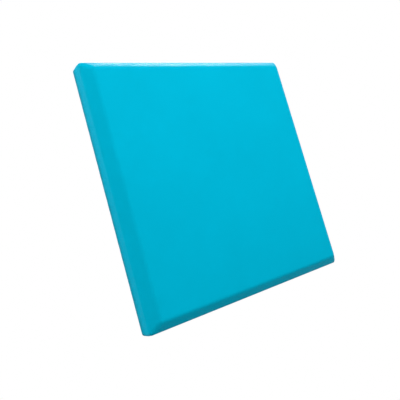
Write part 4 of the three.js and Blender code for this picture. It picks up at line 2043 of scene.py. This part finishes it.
@dataclass
class Hanger:
    """A D-ring held by a strap that is screwed to the side rail."""

    space: PanelSpace
    title: str
    wire: float = 2.5 * MM
    wire_sides: int = 20
    ring_width: float = 24.5 * MM
    ring_height: float = 18 * MM
    ring_corner: float = 3 * MM
    corner_steps: int = 10
    bow_steps: int = 64
    longest_step: float = 1.5 * MM
    seam: float = 0.4 * MM
    strap_width: float = 14 * MM
    strap_length: float = 40 * MM
    strap_thickness: float = 1.2 * MM
    strap_edge: float = 0.25 * MM
    strap_step: float = 3 * MM
    tongue_steps: int = 12
    tongue_end_share: float = 0.06
    curl_sweep: float = math.radians(285)
    curl_steps: int = 44
    seat_gap: float = 0.3 * MM
    hole_overrun: float = 1 * MM
    hole_sides: int = 32
    screw: PanHeadScrew = PanHeadScrew()
    screw_numbers: tuple[int, ...] = (1, 2)

    def __post_init__(self) -> None:
        """Find the ring's hinge."""
        joint = next(joint for joint in frame["joints"] if joint["name"] == f"ring_swing_{self.title}")
        self.body: str = joint["child"]
        self.hinge: Space = self.space.own(joint["pos_m"])
        self.inner: float = self.wire / 2 + self.seat_gap
        self.outer: float = self.inner + self.strap_thickness

    def build(self) -> None:
        """Make the ring, the strap and its screws."""
        settled(self._ring(), NICKEL, self.body, "nickel_steel", f"hanger_ring_{self.title}")
        settled(self._strap(), ZINC, BODY, "zinc_steel", f"hanger_strap_{self.title}")
        for number in self.screw_numbers:
            node = f"strap_screw_{self.title}_{number}"
            x, y, _ = self.space.middle_of(node)
            head_top = self.space.own(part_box(node)[1])[2]
            piece = self.screw.made(f"{node}_turned", self.space.about(x, y, head_top))
            settled(piece, NICKEL, BODY, "nickel_steel", node)

    def _ring(self) -> bpy.types.Object:
        """Bend the ring's wire: a bar through the strap's curl, and a bow over it.

        Returns:
            The ring's object, leaning on the back of the cover.
        """
        half, radius = self.ring_width / 2, self.ring_corner
        angles = [HALF_TURN * step / self.bow_steps for step in range(self.bow_steps + 1)]
        rise = self.ring_height - radius
        bow = [(half * math.cos(angle), radius + rise * math.sin(angle)) for angle in angles]
        right = arc((half - radius, radius), radius, -QUARTER_TURN, 0.0, self.corner_steps)
        left = [(-x, y) for x, y in reversed(right)]
        seam = self.seam / 2
        line = divided([(seam, 0.0), *right[:-1], *bow, *left[1:], (-seam, 0.0)], self.longest_step)
        lean = math.asin((self.outer - self.wire / 2) / self.ring_height)
        put = self.space.about(*self.hinge)
        path = [put(x, y * math.cos(lean), y * math.sin(lean)) for x, y in line]
        sideways = self.space.direction(0.0, -math.sin(lean), math.cos(lean))
        bar = Bar(path, round_section(self.wire, self.wire_sides), sideways)
        return bar.surface().made(f"ring_wire_{self.title}")

    def _strap(self) -> bpy.types.Object:
        """Bend the strap: a plate with a round tongue, curled over the ring's bar, with its holes.

        Returns:
            The strap's object.
        """
        middle = (self.inner + self.outer) / 2
        half = self.strap_width / 2
        angles = [QUARTER_TURN * step / self.tongue_steps for step in range(self.tongue_steps + 1)]
        tongue = [(middle, -self.strap_length + half * (1 - math.cos(angle))) for angle in angles]
        curl = arc((0.0, 0.0), middle, 0.0, self.curl_sweep, self.curl_steps)
        line = [*tongue, *divided([tongue[-1], curl[0]], self.strap_step)[1:-1], *curl]
        put = self.space.about(*self.hinge)
        section = rounded_section(self.strap_width, self.strap_thickness, self.strap_edge)
        bar = Bar(
            [put(0.0, y, z) for z, y in line],
            section,
            self.space.direction(1.0, 0.0, 0.0),
            [self._strap_share(y) for _, y in line],
        )
        piece = bar.surface().made(f"strap_plate_{self.title}")
        for number in self.screw_numbers:
            cut_out(piece, self._hole(f"strap_screw_{self.title}_{number}"))
        return piece

    def _strap_share(self, y: float) -> float:
        """How much of its full width the strap has at a height from the hinge, less round the tongue."""
        into_tongue = max(0.0, 1 - (y + self.strap_length) / (self.strap_width / 2))
        return max(self.tongue_end_share, math.sqrt(1 - into_tongue ** 2))

    def _hole(self, node: str) -> bpy.types.Object:
        """Make the cutter of the strap's hole for a screw.

        Args:
            node: The screw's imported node.

        Returns:
            The cutter's object, right through the strap.
        """
        x, y, _ = self.space.middle_of(node)
        radius = self.screw.core / 2 + self.seat_gap
        through = self.outer + self.hole_overrun
        outline = [(0.0, 0.0), (radius, 0.0), (radius, through), (0.0, through)]
        return turned_surface(outline, self.hole_sides, self.space.about(x, y, self.hinge[2])).made("cutter")


# The studio


@dataclass(frozen=True)
class Lamp:
    """A soft rectangular lamp, by the level of light that it alone gives a white surface facing it."""

    title: str
    place: Space
    width: float
    height: float
    level: float

    def light(self, aim: Vector) -> None:
        """Hang the lamp.

        Args:
            aim: The point that it is turned to.
        """
        data = bpy.data.lights.new(self.title, "AREA")
        data.shape = "RECTANGLE"
        data.size = self.width
        data.size_y = self.height
        way = aim - Vector(self.place)
        data.energy = self.level * (math.pi * way.length) ** 2
        lamp = bpy.data.objects.new(self.title, data)
        lamp.location = self.place
        lamp.rotation_mode = "QUATERNION"
        lamp.rotation_quaternion = way.to_track_quat("-Z", "Y")
        bpy.context.scene.collection.objects.link(lamp)
        LOG.info("%s: level %.2f", self.title, self.level)


@dataclass
class Studio:
    """The floor, the soft lamps and the white surroundings."""

    space: PanelSpace
    floor_drop: float = 0.85
    floor_radius: float = 1.5
    floor_sides: int = 96
    horizon: Point = (-0.3, 0.3)
    levels: Point = (0.35, 0.3)
    lamps: Sequence[Lamp] = (
        Lamp("lamp_front", (0.0, -1.44, 0.63), 1.4, 1.4, 0.93),
        Lamp("lamp_behind", (-1.65, 0.92, 0.95), 1.2, 1.2, 0.64),
        Lamp("lamp_rim", (1.1, 0.95, 1.4), 1.6, 0.4, 0.85),
    )

    def build(self) -> None:
        """Lay the floor, hang the lamps and set the surroundings."""
        self._floor()
        aim = self.space.world(0.0, 0.0, self.space.depth)
        for lamp in self.lamps:
            lamp.light(aim)
        self._surroundings()
        bpy.context.scene.view_settings.view_transform = "Standard"

    def _floor(self) -> None:
        """Lay a round floor under the panel."""
        surface = Surface()
        centre = surface.add(Vector((0.0, 0.0, 0.0)))
        circle = round_section(2 * self.floor_radius, self.floor_sides)
        rim = [surface.add(Vector((x, y, 0.0))) for x, y in circle]
        for step, corner in enumerate(rim):
            surface.face([centre, corner, rim[(step + 1) % len(rim)]])
        floor = surface.made("studio_floor")
        low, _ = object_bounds()
        floor.location = (0.0, 0.0, low.z - self.floor_drop)
        WhiteFloor().put_on(floor)
        floor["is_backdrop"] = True
        LOG.info("studio_floor: %.2f m under the panel", self.floor_drop)

    def _surroundings(self) -> None:
        """Light the room evenly, a little more from below, and show it white to whatever looks at it."""
        world = bpy.data.worlds.new("studio_room")
        bpy.context.scene.world = world
        world.use_nodes = True
        graph = Graph(world.node_tree)
        _, _, up = graph.parts(graph.node("ShaderNodeTexCoord", None, None, "Generated"))
        level = graph.spread(up, self.horizon, self.levels)
        strength = level + graph.looked_at() * (1.0 - level)
        graph.close("ShaderNodeOutputWorld", graph.node("ShaderNodeBackground", None, {"Color": strength}))


@dataclass(frozen=True)
class PhotoCamera:
    """The camera where the photograph was taken from."""

    eye: Space = (-0.5770, -0.7567, -0.2822)
    ahead: Space = (0.57151, 0.81608, 0.086)
    up: Space = (0.17508, -0.22365, 0.95881)
    lens: float = 40.35
    sensor: float = 36.0
    nearest: float = 10 * MM

    def build(self) -> None:
        """Set the camera up and make it the scene's own."""
        data = bpy.data.cameras.new("photo_camera")
        data.lens = self.lens
        data.sensor_width = self.sensor
        data.clip_start = self.nearest
        camera = bpy.data.objects.new("photo_camera", data)
        ahead = Vector(self.ahead).normalized()
        right = ahead.cross(Vector(self.up)).normalized()
        true_up = right.cross(ahead)
        turned = Matrix((right, true_up, -ahead)).transposed().to_4x4()
        camera.matrix_world = Matrix.Translation(self.eye) @ turned
        bpy.context.scene.collection.objects.link(camera)
        bpy.context.scene.camera = camera
        LOG.info("photo_camera: %.1f mm lens", self.lens)


def main() -> None:
    """Build and dress the panel, light it and set the camera."""
    logging.basicConfig(level=logging.INFO, format="%(name)s: %(message)s")
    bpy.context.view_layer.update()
    space = PanelSpace.measured()
    PhotoCamera().build()
    staples = StapleRuns(space)
    cover = StretchedCover(space, staples)
    cover.build()
    BackCloth(space, staples, cover).build()
    FoamCore(space, cover).build()
    BattenFrame().dress()
    staples.build()
    Bumpers(space).build()
    for title in ("left", "right"):
        Hanger(space, title).build()
    Studio(space).build()


if __name__ == "__main__":
    main()
